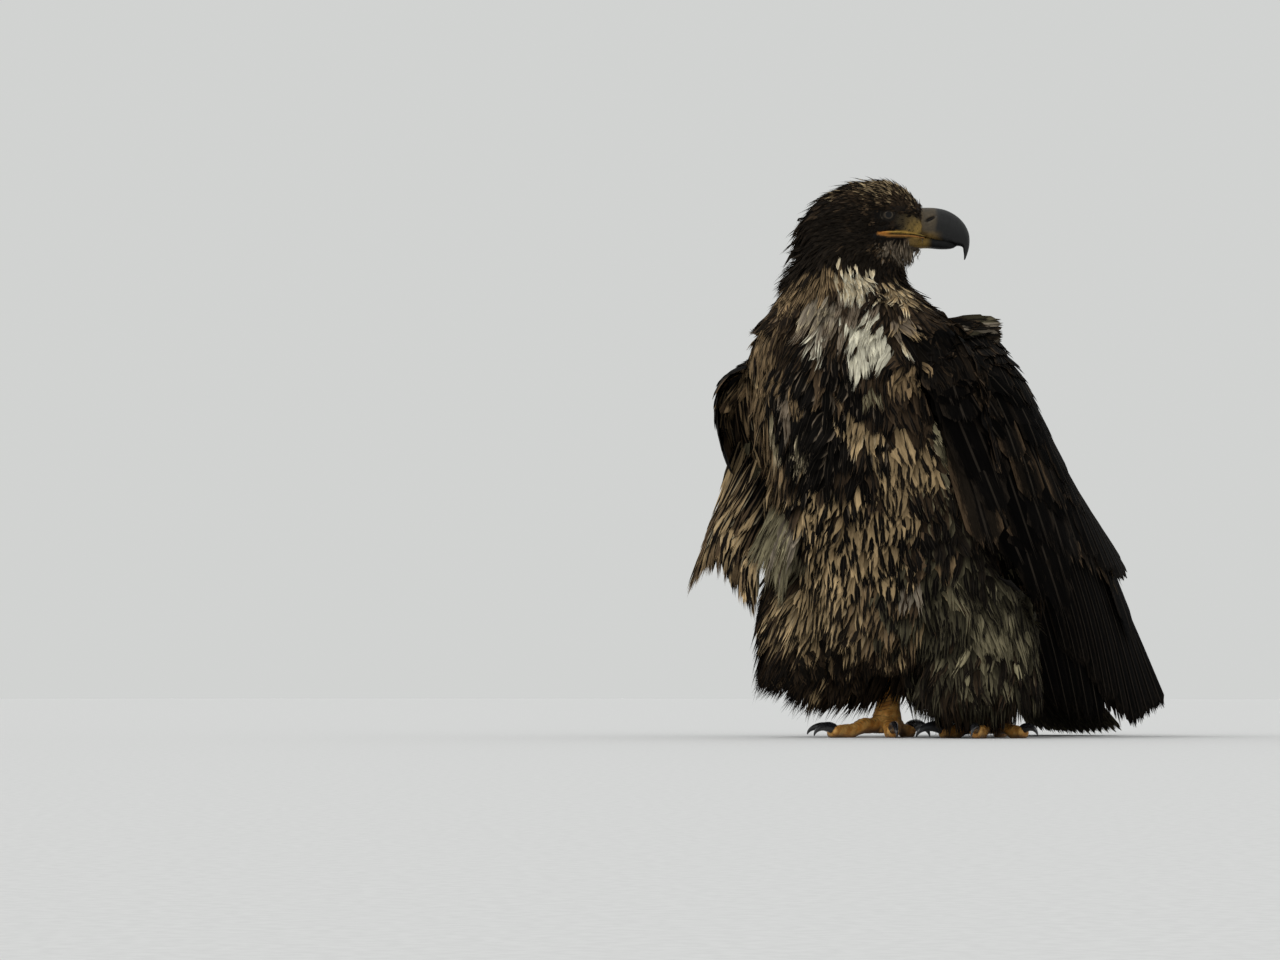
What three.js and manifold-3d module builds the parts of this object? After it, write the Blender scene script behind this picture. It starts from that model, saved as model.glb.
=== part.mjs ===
// A life-size immature bald eagle, standing ruffled with its head turned over the left shoulder.
// Millimetres, +Z up. The bird faces -Y and its left side is at +X. The floor is at z = 0.
import * as THREE from 'three';
import { mergeVertices } from 'three/addons/utils/BufferGeometryUtils.js';
import Module from 'manifold-3d';

const wasm = await Module();
wasm.setup();

// ---- driving dimensions ----
const gap = 0.5; // clearance between neighbouring pieces
const weld = 0.06; // detail smaller than this is smoothed away where pieces are cut
const headTurn = THREE.MathUtils.degToRad(126); // head turned to the bird's left
const headPlace = new THREE.Vector3(0, -104, 486); // centre of the skull
const neckSplit = 398; // height where the neck ends and the trunk begins
const segments = {
  skull: 16, column: 18, thigh: 14, shank: 12, toe: 8, claw: 6, bill: 12, jaw: 10, ball: 10,
};
const rings = { skull: 12, column: 15, thigh: 7, shank: 6, toe: 7, claw: 7, bill: 14, jaw: 7 };

// ---- helpers ----
const mix = (a, b, t) => a + (b - a) * t;
const clamp01 = (t) => Math.min(1, Math.max(0, t));
const ease = (t) => {
  const c = clamp01(t);
  return c * c * (3 - 2 * c);
};
const steps = (count) => Array.from({ length: count }, (_, i) => i / (count - 1));
const turns = (count) => Array.from({ length: count }, (_, j) => (j / count) * Math.PI * 2);
const upright = (height) => new THREE.Vector3(0, 0, height);

// Smooth interpolation through rows [station, value, value, ...].
function through(rows) {
  return (s) => {
    const last = rows.length - 1;
    let k = 0;
    while (k < last - 1 && s > rows[k + 1][0]) k++;
    const r0 = rows[Math.max(0, k - 1)];
    const r1 = rows[k];
    const r2 = rows[k + 1];
    const r3 = rows[Math.min(last, k + 2)];
    const span = r2[0] - r1[0];
    const t = clamp01((s - r1[0]) / span);
    return r1.slice(1).map((_, i) => {
      const v0 = r1[i + 1];
      const v1 = r2[i + 1];
      const m0 = r1 === r0 ? (v1 - v0) : ((v1 - r0[i + 1]) / (r2[0] - r0[0])) * span;
      const m1 = r2 === r3 ? (v1 - v0) : ((r3[i + 1] - v0) / (r3[0] - r1[0])) * span;
      const t2 = t * t;
      const t3 = t2 * t;
      return (2 * t3 - 3 * t2 + 1) * v0 + (t3 - 2 * t2 + t) * m0
        + (3 * t2 - 2 * t3) * v1 + (t3 - t2) * m1;
    });
  };
}

function geometryOf(points, faces) {
  const g = new THREE.BufferGeometry();
  const flat = points.flatMap((p) => [p.x, p.y, p.z]);
  g.setAttribute('position', new THREE.Float32BufferAttribute(flat, 3));
  g.setIndex(faces.flat());
  return g;
}

// A closed tube through rings of points, with a fan at each end.
function ringsSolid(loops) {
  const n = loops[0].length;
  const points = loops.flat();
  const faces = [];
  for (let i = 0; i + 1 < loops.length; i++) {
    for (let j = 0; j < n; j++) {
      const a = i * n + j;
      const b = i * n + ((j + 1) % n);
      faces.push([a, b, b + n], [a, b + n, a + n]);
    }
  }
  const centre = (loop) => loop.reduce((s, p) => s.add(p), new THREE.Vector3()).divideScalar(n);
  const first = points.push(centre(loops[0])) - 1;
  const last = points.push(centre(loops.at(-1))) - 1;
  const top = (loops.length - 1) * n;
  for (let j = 0; j < n; j++) {
    faces.push([first, (j + 1) % n, j], [last, top + j, top + ((j + 1) % n)]);
  }
  return facingOut(geometryOf(points, faces));
}

// A closed plate: the upper sheet and the lower sheet of a grid of columns, joined round the rim.
function sheetSolid(upper, lower) {
  const rows = upper[0].length;
  const columns = upper.length;
  const points = [...upper.flat(), ...lower.flat()];
  const under = rows * columns;
  const faces = [];
  const quad = (a, b, c, d) => faces.push([a, b, c], [a, c, d]);
  for (let i = 0; i + 1 < columns; i++) {
    for (let j = 0; j + 1 < rows; j++) {
      const a = i * rows + j;
      quad(a, a + rows, a + rows + 1, a + 1);
      quad(a + under, a + 1 + under, a + rows + 1 + under, a + rows + under);
    }
    const e = i * rows;
    const f = e + rows - 1;
    quad(e, e + under, e + rows + under, e + rows);
    quad(f, f + rows, f + rows + under, f + under);
  }
  for (let j = 0; j + 1 < rows; j++) {
    const e = (columns - 1) * rows + j;
    quad(j, j + 1, j + 1 + under, j + under);
    quad(e, e + under, e + 1 + under, e + 1);
  }
  return facingOut(geometryOf(points, faces));
}

function meshVolume(g) {
  const p = g.attributes.position;
  const at = (k) => new THREE.Vector3().fromBufferAttribute(p, g.index.getX(k));
  let six = 0;
  for (let k = 0; k < g.index.count; k += 3) six += at(k).dot(at(k + 1).cross(at(k + 2)));
  return six / 6;
}

function facingOut(g) {
  if (meshVolume(g) < 0) {
    const a = g.index.array;
    for (let k = 0; k < a.length; k += 3) [a[k + 1], a[k + 2]] = [a[k + 2], a[k + 1]];
  }
  return g;
}

function mergedCopy(g) {
  const bare = g.clone();
  bare.deleteAttribute('normal');
  bare.deleteAttribute('uv');
  return mergeVertices(bare, 1e-3);
}

function toSolid(g) {
  const m = mergedCopy(g);
  return new wasm.Manifold(new wasm.Mesh({
    numProp: 3,
    vertProperties: new Float32Array(m.attributes.position.array),
    triVerts: new Uint32Array(m.index.array),
  }));
}

// The largest body of a solid, welded, as a mesh.
function toGeometry(solid) {
  const largest = (whole) => whole.decompose().sort((a, b) => b.volume() - a.volume())[0];
  const plain = (body) => {
    const m = body.getMesh();
    const g = new THREE.BufferGeometry();
    g.setAttribute('position', new THREE.Float32BufferAttribute(m.vertProperties, 3));
    g.setIndex(new THREE.BufferAttribute(m.triVerts, 1));
    return g;
  };
  return plain(largest(toSolid(plain(largest(solid.simplify(weld))))));
}

// The same closed mesh with each vertex moved out along its normal.
function grown(g) {
  const m = mergedCopy(g);
  m.computeVertexNormals();
  const p = m.attributes.position;
  const n = m.attributes.normal;
  for (let i = 0; i < p.array.length; i++) p.array[i] += n.array[i] * gap;
  m.deleteAttribute('normal');
  return m;
}

// What is left of a piece when its neighbours, each grown by the gap, are cut away.
function without(g, ...others) {
  let solid = toSolid(g);
  for (const other of others) {
    solid = solid.subtract(toSolid(other)).subtract(toSolid(grown(other)));
  }
  return toGeometry(solid);
}

// The part of a piece above or below a level.
function cutLevel(g, level, keepAbove) {
  const normal = keepAbove ? [0, 0, 1] : [0, 0, -1];
  return toGeometry(toSolid(g).trimByPlane(normal, keepAbove ? level : -level));
}

// A level oval of points.
function ovalRing(x, y, z, a, b, count) {
  return turns(count).map((t) => new THREE.Vector3(x + a * Math.cos(t), y + b * Math.sin(t), z));
}

// ---- trunk and neck: level sections [height, centre x, centre y, half width, half depth] ----
const columnAt = through([
  [56, -12, 0, 56, 44],
  [72, -12, 1, 96, 72],
  [108, -12, 2, 120, 100],
  [150, -10, 0, 126, 113],
  [200, -8, -10, 126, 120],
  [260, -3, -42, 124, 115],
  [320, -1, -74, 124, 102],
  [358, -2, -92, 121, 88],
  [378, -4, -100, 106, 78],
  [393, -6, -106, 86, 71],
  [408, -8, -111, 66, 64],
  [428, -8, -112, 54, 58],
  [456, -5, -108, 46, 52],
  [480, -2, -105, 36, 42],
]);

const columnFoot = 56;
const columnTop = 480;

function columnSolid() {
  return ringsSolid(steps(rings.column).map((t) => {
    const z = mix(columnFoot, columnTop, t);
    return ovalRing(...columnAt(z).toSpliced(2, 0, z), segments.column);
  }));
}

// ---- thighs: loose feathered trousers, the right one lifted by the wind ----
const thighAt = {
  left: through([
    [28, 50, 0, 38, 42],
    [38, 56, -2, 47, 55],
    [60, 62, -3, 54, 64],
    [110, 66, -4, 57, 68],
    [160, 64, -8, 54, 64],
    [215, 52, -14, 38, 48],
  ]),
  right: through([
    [44, -70, -18, 32, 38],
    [56, -80, -24, 50, 58],
    [80, -90, -29, 64, 75],
    [112, -93, -32, 65, 78],
    [160, -87, -28, 58, 72],
    [215, -66, -20, 40, 52],
  ]),
};
const thighFoot = { left: 28, right: 44 };
const thighTop = 215;

function thighSolid(side) {
  return ringsSolid(steps(rings.thigh).map((t) => {
    const z = mix(thighFoot[side], thighTop, t);
    return ovalRing(...thighAt[side](z).toSpliced(2, 0, z), segments.thigh);
  }));
}

// ---- wings: one net of points for the outer face, front edge, middle and rear edge ----
const wingRow = through([
  [0.0, 72, -116, 350, 98, -40, 372, 58, 25, 364],
  [0.2, 97, -127, 321, 131, -45, 328, 76, 48, 326],
  [0.4, 110, -104, 262, 141, -14, 265, 90, 84, 268],
  [0.6, 108, -50, 185, 140, 34, 190, 104, 146, 195],
  [0.8, 88, 45, 98, 117, 120, 98, 102, 216, 112],
  [1.0, 66, 135, -3, 87, 203, -5, 94, 290, 24],
]);
// the right wing is held further out and forward
const rightWristShift = new THREE.Vector3(36, -18, 14);

function wingPoint(side, p, q) {
  const r = wingRow(clamp01(q));
  const front = (1 - p) * (1 - 2 * p);
  const middle = 4 * p * (1 - p);
  const rear = p * (2 * p - 1);
  const point = new THREE.Vector3(
    front * r[0] + middle * r[3] + rear * r[6],
    front * r[1] + middle * r[4] + rear * r[7],
    front * r[2] + middle * r[5] + rear * r[8],
  );
  if (side === 'right') {
    const hold = (1 - 0.75 * ease(p)) * Math.sin(Math.PI * clamp01(q + 0.15));
    point.addScaledVector(rightWristShift, hold);
    point.x = -point.x;
  }
  return point;
}

function wingNormal(side, p, q) {
  const step = 0.02;
  const q0 = Math.min(q, 1 - step);
  const along = wingPoint(side, p, q0 + step).sub(wingPoint(side, p, Math.max(0, q0 - step)));
  const across = wingPoint(side, p + step, q0).sub(wingPoint(side, p - step, q0));
  const n = across.cross(along).normalize();
  const outward = side === 'right' ? -1 : 1;
  return n.multiplyScalar(Math.sign(n.x) === outward ? 1 : -1);
}

function wingAt(side, p, q, out) {
  return wingPoint(side, p, q).addScaledVector(wingNormal(side, p, q), out);
}

const arm = {
  reach: 0.5, // share of the wing's length the coverts reach
  body: 0.41, // share where the arm itself ends and the coverts lie loose
  wrist: 36, // depth at the wrist
  elbow: 10, // depth where the arm ends
  covert: 1.8, // thickness of the loose coverts
  scallop: 0.028, // how far every second covert reaches past its neighbour
  columns: 11,
};
const flightRoot = 0.45; // share where the flight feathers come out from under the coverts

// The arm: thick at the wrist and shoulder, ending in a thin scalloped edge of coverts.
function armDepth(p, q) {
  if (q > arm.body + 0.001) return 0;
  const t = clamp01(q / arm.body);
  const thick = mix(arm.wrist, arm.elbow, ease(t)) * mix(0.55, 1, ease(t * 5));
  return thick * Math.sqrt(Math.sin(Math.PI * p)) * mix(1, 0.6, p);
}

function wingArmSolid(side) {
  const stations = [0, 0.05, 0.14, 0.25, 0.34, arm.body, arm.body + 0.02, arm.reach];
  const face = (out) => steps(arm.columns).map((p, i) => (
    stations.map((q) => {
      const scallop = q === arm.reach ? (i % 2) * arm.scallop : 0;
      return wingAt(side, p, q + scallop, out(p, q));
    })
  ));
  return sheetSolid(face(() => 0), face((p, q) => -arm.covert - armDepth(p, q)));
}

// ---- a fan of long feathers lying on a curved face ----
function fanSolid(fan) {
  const { place, count, from, to, root, tip, blunt, lift, thick } = fan;
  const { blow = 0, columns = 2, rows = 4 } = fan;
  const upper = [];
  const lower = [];
  for (let i = 0; i < count; i++) {
    for (const f of steps(columns + 1)) {
      const p = mix(from, to, (i + f) / count);
      const end = tip((i + 0.5) / count) - blunt * (2 * f - 1) ** 2;
      const high = (t) => lift(p) + thick * (f - 0.5) * 0.8 + blow * t * t;
      upper.push(steps(rows).map((t) => place(p, mix(root, end, t), high(t))));
      lower.push(steps(rows).map((t) => place(p, mix(root, end, t), high(t) - thick)));
    }
  }
  return sheetSolid(upper, lower);
}

// Three layers of flight feathers, each lying just over the one before.
const layers = {
  primaries: {
    count: 6, from: 0.01, to: 0.86, thick: 2.4, lift: () => -12.2,
    tip: through([[0, 0.965], [0.4, 0.99], [1, 1.0]]), blunt: 0.045,
  },
  secondaries: {
    count: 8, from: 0.2, to: 1.06, thick: 2.4, lift: () => -6,
    tip: through([[0, 0.84], [0.4, 0.93], [0.7, 0.985], [1, 1.0]]), blunt: 0.03,
  },
  tertials: {
    count: 5, from: 0.6, to: 1.19, thick: 2.4, lift: () => 4.2, blow: 11,
    tip: through([[0, 0.66], [0.6, 0.72], [1, 0.7]]), blunt: 0.035,
  },
};

function flightSolid(side, layer) {
  const place = (p, q, out) => wingAt(side, p, q, out);
  return fanSolid({ place, root: flightRoot, ...layers[layer] });
}

// The room a folded wing needs, as one plain slab.
const wingRoomOver = 14;
const wingRoomUnder = 19;

function wingRoom(side) {
  const face = (out) => steps(5).map((i) => steps(6).map((j) => {
    const p = mix(-0.04, 1.16, i);
    const q = mix(-0.03, 1.01, j);
    return wingAt(side, p, Math.max(0, q), out(clamp01(p), q)).add(upright(q < 0 ? 12 : 0));
  }));
  const under = (p, q) => -wingRoomUnder - 1.1 * armDepth(mix(0.1, 0.9, p), Math.max(0, q));
  return sheetSolid(face(() => wingRoomOver), face(under));
}

// ---- tail ----
const tailRoot = new THREE.Vector3(0, 66, 190);
const tailTip = new THREE.Vector3(0, 274, -3.5);

const tailHalf = { root: 24, tip: 54 };

function tailPlace(p, q, out) {
  const half = mix(tailHalf.root, tailHalf.tip, q);
  const s = 2 * p - 1;
  const along = tailTip.clone().sub(tailRoot);
  const up = new THREE.Vector3(0, -along.z, along.y).normalize();
  const sag = Math.sin(Math.PI * q) * 8;
  return tailRoot.clone()
    .addScaledVector(along, q)
    .add(new THREE.Vector3(s * half, 0, 0))
    .addScaledVector(up, out - sag + 10 * (1 - s * s) * (1 - ease(q)));
}

function tailSolid() {
  return fanSolid({
    place: tailPlace,
    count: 10, from: 0, to: 1, root: 0,
    tip: (t) => 1.01 - 0.05 * (2 * t - 1) ** 2,
    blunt: 0.02, lift: (t) => 6 * (1 - Math.abs(2 * t - 1)) + 3, thick: 2.6, rows: 3,
  });
}

// The room the tail needs under the rump, as one plain slab.
function tailRoom() {
  const face = (out) => steps(3).map((i) => steps(3).map((q) => (
    tailPlace(mix(-0.06, 1.06, i), q, out)
  )));
  return sheetSolid(face(14), face(-2));
}

// ---- tufts of long feathers standing away from the body ----
const tufts = {
  // the right flank, blown out to the side
  flank_right: {
    roots: [[-148, -112, 276], [-84, -98, 205]],
    tips: [[-192, -130, 136], [-126, -100, 112]],
    outward: [-0.72, -0.62, 0.3],
    bow: 7,
    count: 4,
    tip: through([[0, 1.02], [0.3, 0.9], [0.7, 0.98], [1, 1.04]]),
  },
  // the left shoulder, flipped back over the wing by the wind
  scapulars_left: {
    roots: [[72, -104, 360], [62, -84, 387]],
    tips: [[106, -30, 352], [98, -2, 393]],
    outward: [0.2, -0.6, 0.75],
    bow: 7,
    count: 4,
    tip: through([[0, 0.98], [0.5, 1.03], [1, 0.97]]),
  },
};

const tuftThick = 5;

function tuftPlace(name, p, q, high) {
  const { roots, tips, outward, bow } = tufts[name];
  const point = (a) => new THREE.Vector3(...a);
  const arch = bow * (Math.sin(Math.PI * clamp01(q)) + Math.sin(Math.PI * clamp01(p)));
  return point(roots[0]).lerp(point(roots[1]), p)
    .lerp(point(tips[0]).lerp(point(tips[1]), p), q)
    .addScaledVector(point(outward).normalize(), high + arch);
}

function tuftSolid(name) {
  const place = (p, q, high) => tuftPlace(name, p, q, high);
  const { count, tip } = tufts[name];
  const lift = () => 0;
  return fanSolid({ place, count, from: 0, to: 1, root: 0, tip, blunt: 0.14, lift, thick: tuftThick });
}

// The room a tuft needs, as one plain slab.
function tuftRoom(name) {
  const face = (out) => steps(5).map((i) => steps(5).map((j) => (
    tuftPlace(name, mix(-0.06, 1.06, i), mix(-0.06, 1.08, j), out)
  )));
  return sheetSolid(face(tuftThick - 0.5), face(-2 * tuftThick + 0.5));
}

// ---- head, in its own frame: faces -Y, centred on the skull ----
// sections [forward, top, bottom, half width]
const skullAt = through([
  [-60, -8, -30, 12],
  [-54, 0, -40, 25],
  [-40, 14, -48, 35],
  [-20, 26.5, -52, 41],
  [0, 32, -51, 40],
  [17, 34, -46, 36],
  [32, 32, -45, 30],
  [45, 25, -42, 22],
  [54, 16.5, -36, 17.5],
  [60, 7, -32, 14.2],
]);
const skullEnds = [-60, 60];

function skullSolid() {
  return ringsSolid(steps(rings.skull).map((i) => {
    const f = mix(...skullEnds, i);
    const [top, bottom, half] = skullAt(f);
    return turns(segments.skull).map((t) => (
      new THREE.Vector3(half * Math.cos(t), -f, mix(bottom, top, (Math.sin(t) + 1) / 2))
    ));
  }));
}

// The upper bill: sections along a curve that ends in a narrow hook
// [share, forward, up, tilt, half height, half width].
const billAt = through([
  [0, 44, -6, 0, 13, 14],
  [0.19, 58, -7.4, 4, 14, 13.2],
  [0.33, 69, -8.9, 9, 15.2, 12],
  [0.46, 79, -11.4, 11.5, 15.4, 10.5],
  [0.58, 87.8, -15, 15.5, 13.8, 8.8],
  [0.67, 94, -18.9, 21, 11.2, 7.2],
  [0.75, 98.2, -23.1, 30, 7.7, 5.2],
  [0.81, 99.9, -27.4, 43, 4.8, 3.8],
  [0.87, 100, -32.3, 55, 3.3, 2.8],
  [0.94, 99.4, -37.6, 65, 1.8, 1.7],
  [1, 98.4, -42.4, 75, 0.6, 0.6],
]);

function billUpperSolid() {
  return ringsSolid(steps(rings.bill).map((i) => {
    const [f, up, tilt, high, half] = billAt(i);
    const a = THREE.MathUtils.degToRad(tilt);
    return turns(segments.bill).map((t) => {
      const s = Math.sin(t);
      const pinch = 1 - (s > 0 ? 0.35 : 0.1) * s * s;
      const across = half * Math.cos(t) * pinch;
      return new THREE.Vector3(across, -(f + high * s * Math.sin(a)), up + high * s * Math.cos(a));
    });
  }));
}

// The lower bill: sections [forward, top, bottom, half width].
const jawAt = through([
  [16, -20, -33, 15],
  [40, -21, -32.5, 13.5],
  [62, -22, -31.2, 10.5],
  [76, -24, -32.3, 8],
  [84, -25, -32.2, 6],
  [90, -27, -31, 3.2],
]);
const jawEnds = [16, 90];

function billLowerSolid() {
  return ringsSolid(steps(rings.jaw).map((i) => {
    const f = mix(...jawEnds, i);
    const [top, bottom, half] = jawAt(f);
    return turns(segments.jaw).map((t) => (
      new THREE.Vector3(half * Math.cos(t), -f, mix(bottom, top, (Math.sin(t) + 1) / 2))
    ));
  }));
}

const eyeRadius = 9.2;
const eyePlace = { across: 24.5, forward: 26, up: -3.5 };
const socketRadius = 11.5;

function ballAt(x, y, z, radius) {
  const rows = Math.round(segments.ball * 0.7);
  return new THREE.SphereGeometry(radius, segments.ball, rows).translate(x, y, z);
}

// ---- legs and feet ----
const legs = {
  left: { x: 56, y: 26, turn: 20, mirror: 1 },
  right: { x: -45, y: 0, turn: 5, mirror: -1 },
};
// toes: number, angle from straight ahead towards the outside, length, thickness
const toes = [
  { number: 1, angle: 176, length: 36, thick: 13, claw: 36 },
  { number: 2, angle: -48, length: 46, thick: 13.5, claw: 32 },
  { number: 3, angle: 4, length: 68, thick: 13.5, claw: 28 },
  { number: 4, angle: 50, length: 50, thick: 12.5, claw: 25 },
];
const shankFoot = 4;
const ankle = 84; // where the bare shank goes into the feathers
const shankAt = through([
  [shankFoot, 0, 0, 13, 14],
  [16, 0, 1, 14, 15],
  [32, 0, 4, 10.5, 11.5],
  [60, 5, 11, 10, 11.5],
  [ankle, 8, 16, 11, 12],
]);

function shankSolid(leg) {
  return ringsSolid(steps(rings.shank).map((i) => {
    const z = mix(shankFoot, ankle, i);
    const [x, y, a, b] = shankAt(z);
    return ovalRing(leg.x - x * leg.mirror, leg.y + y, z, a, b, segments.shank);
  }));
}

function toeFrame(leg, toe) {
  const angle = THREE.MathUtils.degToRad(toe.angle + leg.turn);
  const ahead = new THREE.Vector3(Math.sin(angle) * leg.mirror, -Math.cos(angle), 0);
  const across = new THREE.Vector3(-ahead.y, ahead.x, 0);
  const start = new THREE.Vector3(leg.x, leg.y, 0).addScaledVector(ahead, 6);
  return { ahead, across, start };
}

const toeHeight = { root: 14, tip: 5.4, knuckle: 1.6 };

// A knuckled toe, arched over its pads and flat where it stands.
function toeSolid(leg, toe) {
  const { ahead, across, start } = toeFrame(leg, toe);
  const tube = ringsSolid(steps(rings.toe).map((t) => {
    const knuckle = toeHeight.knuckle * Math.cos(t * Math.PI * 5) * (1 - t);
    const high = mix(toeHeight.root, toeHeight.tip, ease(t * 1.3)) + knuckle;
    const half = toe.thick * 0.5 * (1 + 0.07 * Math.cos(t * Math.PI * 6)) * mix(1, 0.86, t);
    const centre = start.clone().addScaledVector(ahead, toe.length * t).setZ(high);
    return turns(segments.toe).map((a) => (
      centre.clone().addScaledVector(across, half * Math.cos(a))
        .add(upright(half * 1.08 * Math.sin(a)))
    ));
  }));
  return cutLevel(tube, 0, true);
}

const clawBend = THREE.MathUtils.degToRad(105);
const clawRoot = { back: 3, height: 8.4, turn: -0.45 * clawBend * 0.8 };

// A claw curving down to a point that just meets the floor.
function clawSolid(leg, toe) {
  const { ahead, across, start } = toeFrame(leg, toe);
  const radius = toe.claw / clawBend;
  const base = start.clone().addScaledVector(ahead, toe.length - clawRoot.back)
    .setZ(clawRoot.height);
  const tube = ringsSolid(steps(rings.claw).map((t) => {
    const a = mix(-0.45, 1, t) * clawBend * 0.8;
    const forward = radius * (Math.sin(a) - Math.sin(clawRoot.turn));
    const drop = radius * (Math.cos(clawRoot.turn) - Math.cos(a));
    const size = mix(toe.claw * 0.2, 0.7, t ** 1.3);
    const centre = base.clone().addScaledVector(ahead, forward).add(upright(-drop * 0.62));
    const up = upright(Math.cos(a)).addScaledVector(ahead, Math.sin(a));
    return turns(segments.claw).map((s) => (
      centre.clone().addScaledVector(across, size * 0.72 * Math.cos(s))
        .addScaledVector(up, size * Math.sin(s))
    ));
  }));
  return cutLevel(tube, 0, true);
}

// ---- materials ----
const paint = (color, roughness) => new THREE.MeshStandardMaterial({ color, roughness, metalness: 0 });
const darkPlumage = paint(0x2a221b, 0.85);
const mottledPlumage = paint(0x6b5741, 0.9);
const flightPlumage = paint(0x1d1916, 0.7);
const horn = paint(0x3a3c3c, 0.45);
const yellowHorn = paint(0xb88a2e, 0.55);
const yellowSkin = paint(0xc87f24, 0.6);
const clawHorn = paint(0x16181a, 0.35);
const eyeGlass = paint(0x4a3d22, 0.1);

// ---- assembly ----
const eagle = new THREE.Group();
const headGroup = new THREE.Group();
headGroup.position.copy(headPlace);
headGroup.rotation.z = headTurn;
eagle.add(headGroup);
headGroup.updateMatrix();

function add(group, name, geometry, material) {
  const mesh = new THREE.Mesh(geometry, material);
  mesh.name = name;
  group.add(mesh);
  return mesh;
}

const sides = ['left', 'right'];
const sign = { left: 1, right: -1 };

// head pieces
const billUpper = billUpperSolid();
const billLower = without(billLowerSolid(), billUpper);
const eyes = Object.fromEntries(sides.map((side) => [
  side,
  ballAt(sign[side] * eyePlace.across, -eyePlace.forward, eyePlace.up, eyeRadius),
]));
const eyeRooms = sides.map((side) => (
  ballAt(sign[side] * eyePlace.across, -eyePlace.forward, eyePlace.up, eyeRadius + gap)
));
const socketAcross = eyePlace.across + socketRadius * 0.9;
const sockets = sides.map((side) => (
  ballAt(sign[side] * socketAcross, -eyePlace.forward - 1, eyePlace.up, socketRadius)
));
let skull = toSolid(skullSolid());
for (const room of [...eyeRooms, ...sockets]) skull = skull.subtract(toSolid(room));
const head = without(toGeometry(skull), billUpper, billLower);
add(headGroup, 'head', head, darkPlumage);
add(headGroup, 'bill_upper', billUpper, horn);
add(headGroup, 'bill_lower', billLower, yellowHorn);
for (const side of sides) add(headGroup, `eye_${side}`, eyes[side], eyeGlass);
const skullInPlace = skullSolid().applyMatrix4(headGroup.matrix);

// wings and tail lie over the thighs and the trunk, which are cut to fit them
const rooms = [];
for (const side of sides) {
  rooms.push(wingRoom(side));
  add(eagle, `wing_${side}`, wingArmSolid(side), darkPlumage);
  for (const layer of Object.keys(layers)) {
    add(eagle, `${layer}_${side}`, flightSolid(side, layer), flightPlumage);
  }
}
add(eagle, 'tail', cutLevel(without(tailSolid(), ...rooms), 0, true), flightPlumage);
for (const name of Object.keys(tufts)) {
  add(eagle, name, without(tuftSolid(name), ...rooms), mottledPlumage);
}
rooms.push(...Object.keys(tufts).map(tuftRoom));

const wholeThighs = { left: thighSolid('left'), right: thighSolid('right') };
const thighs = {
  left: without(wholeThighs.left, ...rooms, tailRoom()),
  right: without(wholeThighs.right, ...rooms, tailRoom(), wholeThighs.left),
};
for (const side of sides) add(eagle, `thigh_${side}`, thighs[side], mottledPlumage);
const column = columnSolid();
const trunkWhole = cutLevel(column, neckSplit - gap / 2, false);
const neckWhole = cutLevel(column, neckSplit + gap / 2, true);
const trunk = without(trunkWhole, ...rooms, tailRoom(), wholeThighs.left, wholeThighs.right);
add(eagle, 'trunk', trunk, mottledPlumage);
add(eagle, 'neck', without(neckWhole, skullInPlace, ...rooms), darkPlumage);

for (const side of sides) {
  const leg = legs[side];
  const shank = without(shankSolid(leg), wholeThighs[side], trunkWhole);
  add(eagle, `shank_${side}`, shank, yellowSkin);
  const done = [];
  for (const toe of toes) {
    const piece = without(toeSolid(leg, toe), shank, ...done);
    done.push(piece);
    add(eagle, `toe_${side}_${toe.number}`, piece, yellowSkin);
    add(eagle, `claw_${side}_${toe.number}`, without(clawSolid(leg, toe), piece), clawHorn);
  }
}

// the origin is under the middle of the whole bird, on the floor
const box = new THREE.Box3().setFromObject(eagle);
eagle.children.forEach((child) => {
  child.position.x -= (box.min.x + box.max.x) / 2;
  child.position.y -= (box.min.y + box.max.y) / 2;
});

export default eagle;
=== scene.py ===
# A still, life-size model of a young bald eagle, dressed with skin, feathers, horn and glass eyes.
# Everything is worked out in millimetres in the bird's own frame: it faces -Y, its left is +X.
import math
import random
import bmesh
import bpy
import numpy as np
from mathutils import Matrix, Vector
from mathutils.bvhtree import BVHTree
from mathutils.kdtree import KDTree


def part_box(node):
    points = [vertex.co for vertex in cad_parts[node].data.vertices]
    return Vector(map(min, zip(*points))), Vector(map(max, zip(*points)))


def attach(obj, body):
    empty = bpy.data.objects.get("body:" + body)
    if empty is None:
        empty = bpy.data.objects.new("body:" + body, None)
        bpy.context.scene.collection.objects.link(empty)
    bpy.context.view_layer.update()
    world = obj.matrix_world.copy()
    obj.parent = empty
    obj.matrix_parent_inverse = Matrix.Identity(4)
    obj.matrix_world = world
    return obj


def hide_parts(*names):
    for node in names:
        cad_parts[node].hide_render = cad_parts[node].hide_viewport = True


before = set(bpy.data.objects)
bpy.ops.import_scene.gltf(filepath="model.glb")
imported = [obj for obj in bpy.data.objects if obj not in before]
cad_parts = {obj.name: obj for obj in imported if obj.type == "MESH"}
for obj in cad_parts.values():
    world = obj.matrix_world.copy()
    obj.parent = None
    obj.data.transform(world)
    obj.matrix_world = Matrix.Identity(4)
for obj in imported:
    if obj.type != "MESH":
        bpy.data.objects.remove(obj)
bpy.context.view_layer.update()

bird = {
    "headTurn": math.radians(126),       # the head looks over the left shoulder
    "headPlace": np.array([0.0, -104.0, 486.0]),
    "seed": 11,
}
tailLow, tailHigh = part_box("tail")
eyeLow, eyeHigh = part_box("eye_right")
eyeAhead = 108.5                          # the right eye lies this far ahead of the frame's middle
origin = np.array([
    (tailLow[0] + tailHigh[0]) / 2,
    (eyeLow[1] + eyeHigh[1]) / 2 + eyeAhead / 1000,
    0.0,
])
draw = np.random.default_rng(bird["seed"])
sideSign = {"left": 1, "right": -1}
print("frame loaded")


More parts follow.
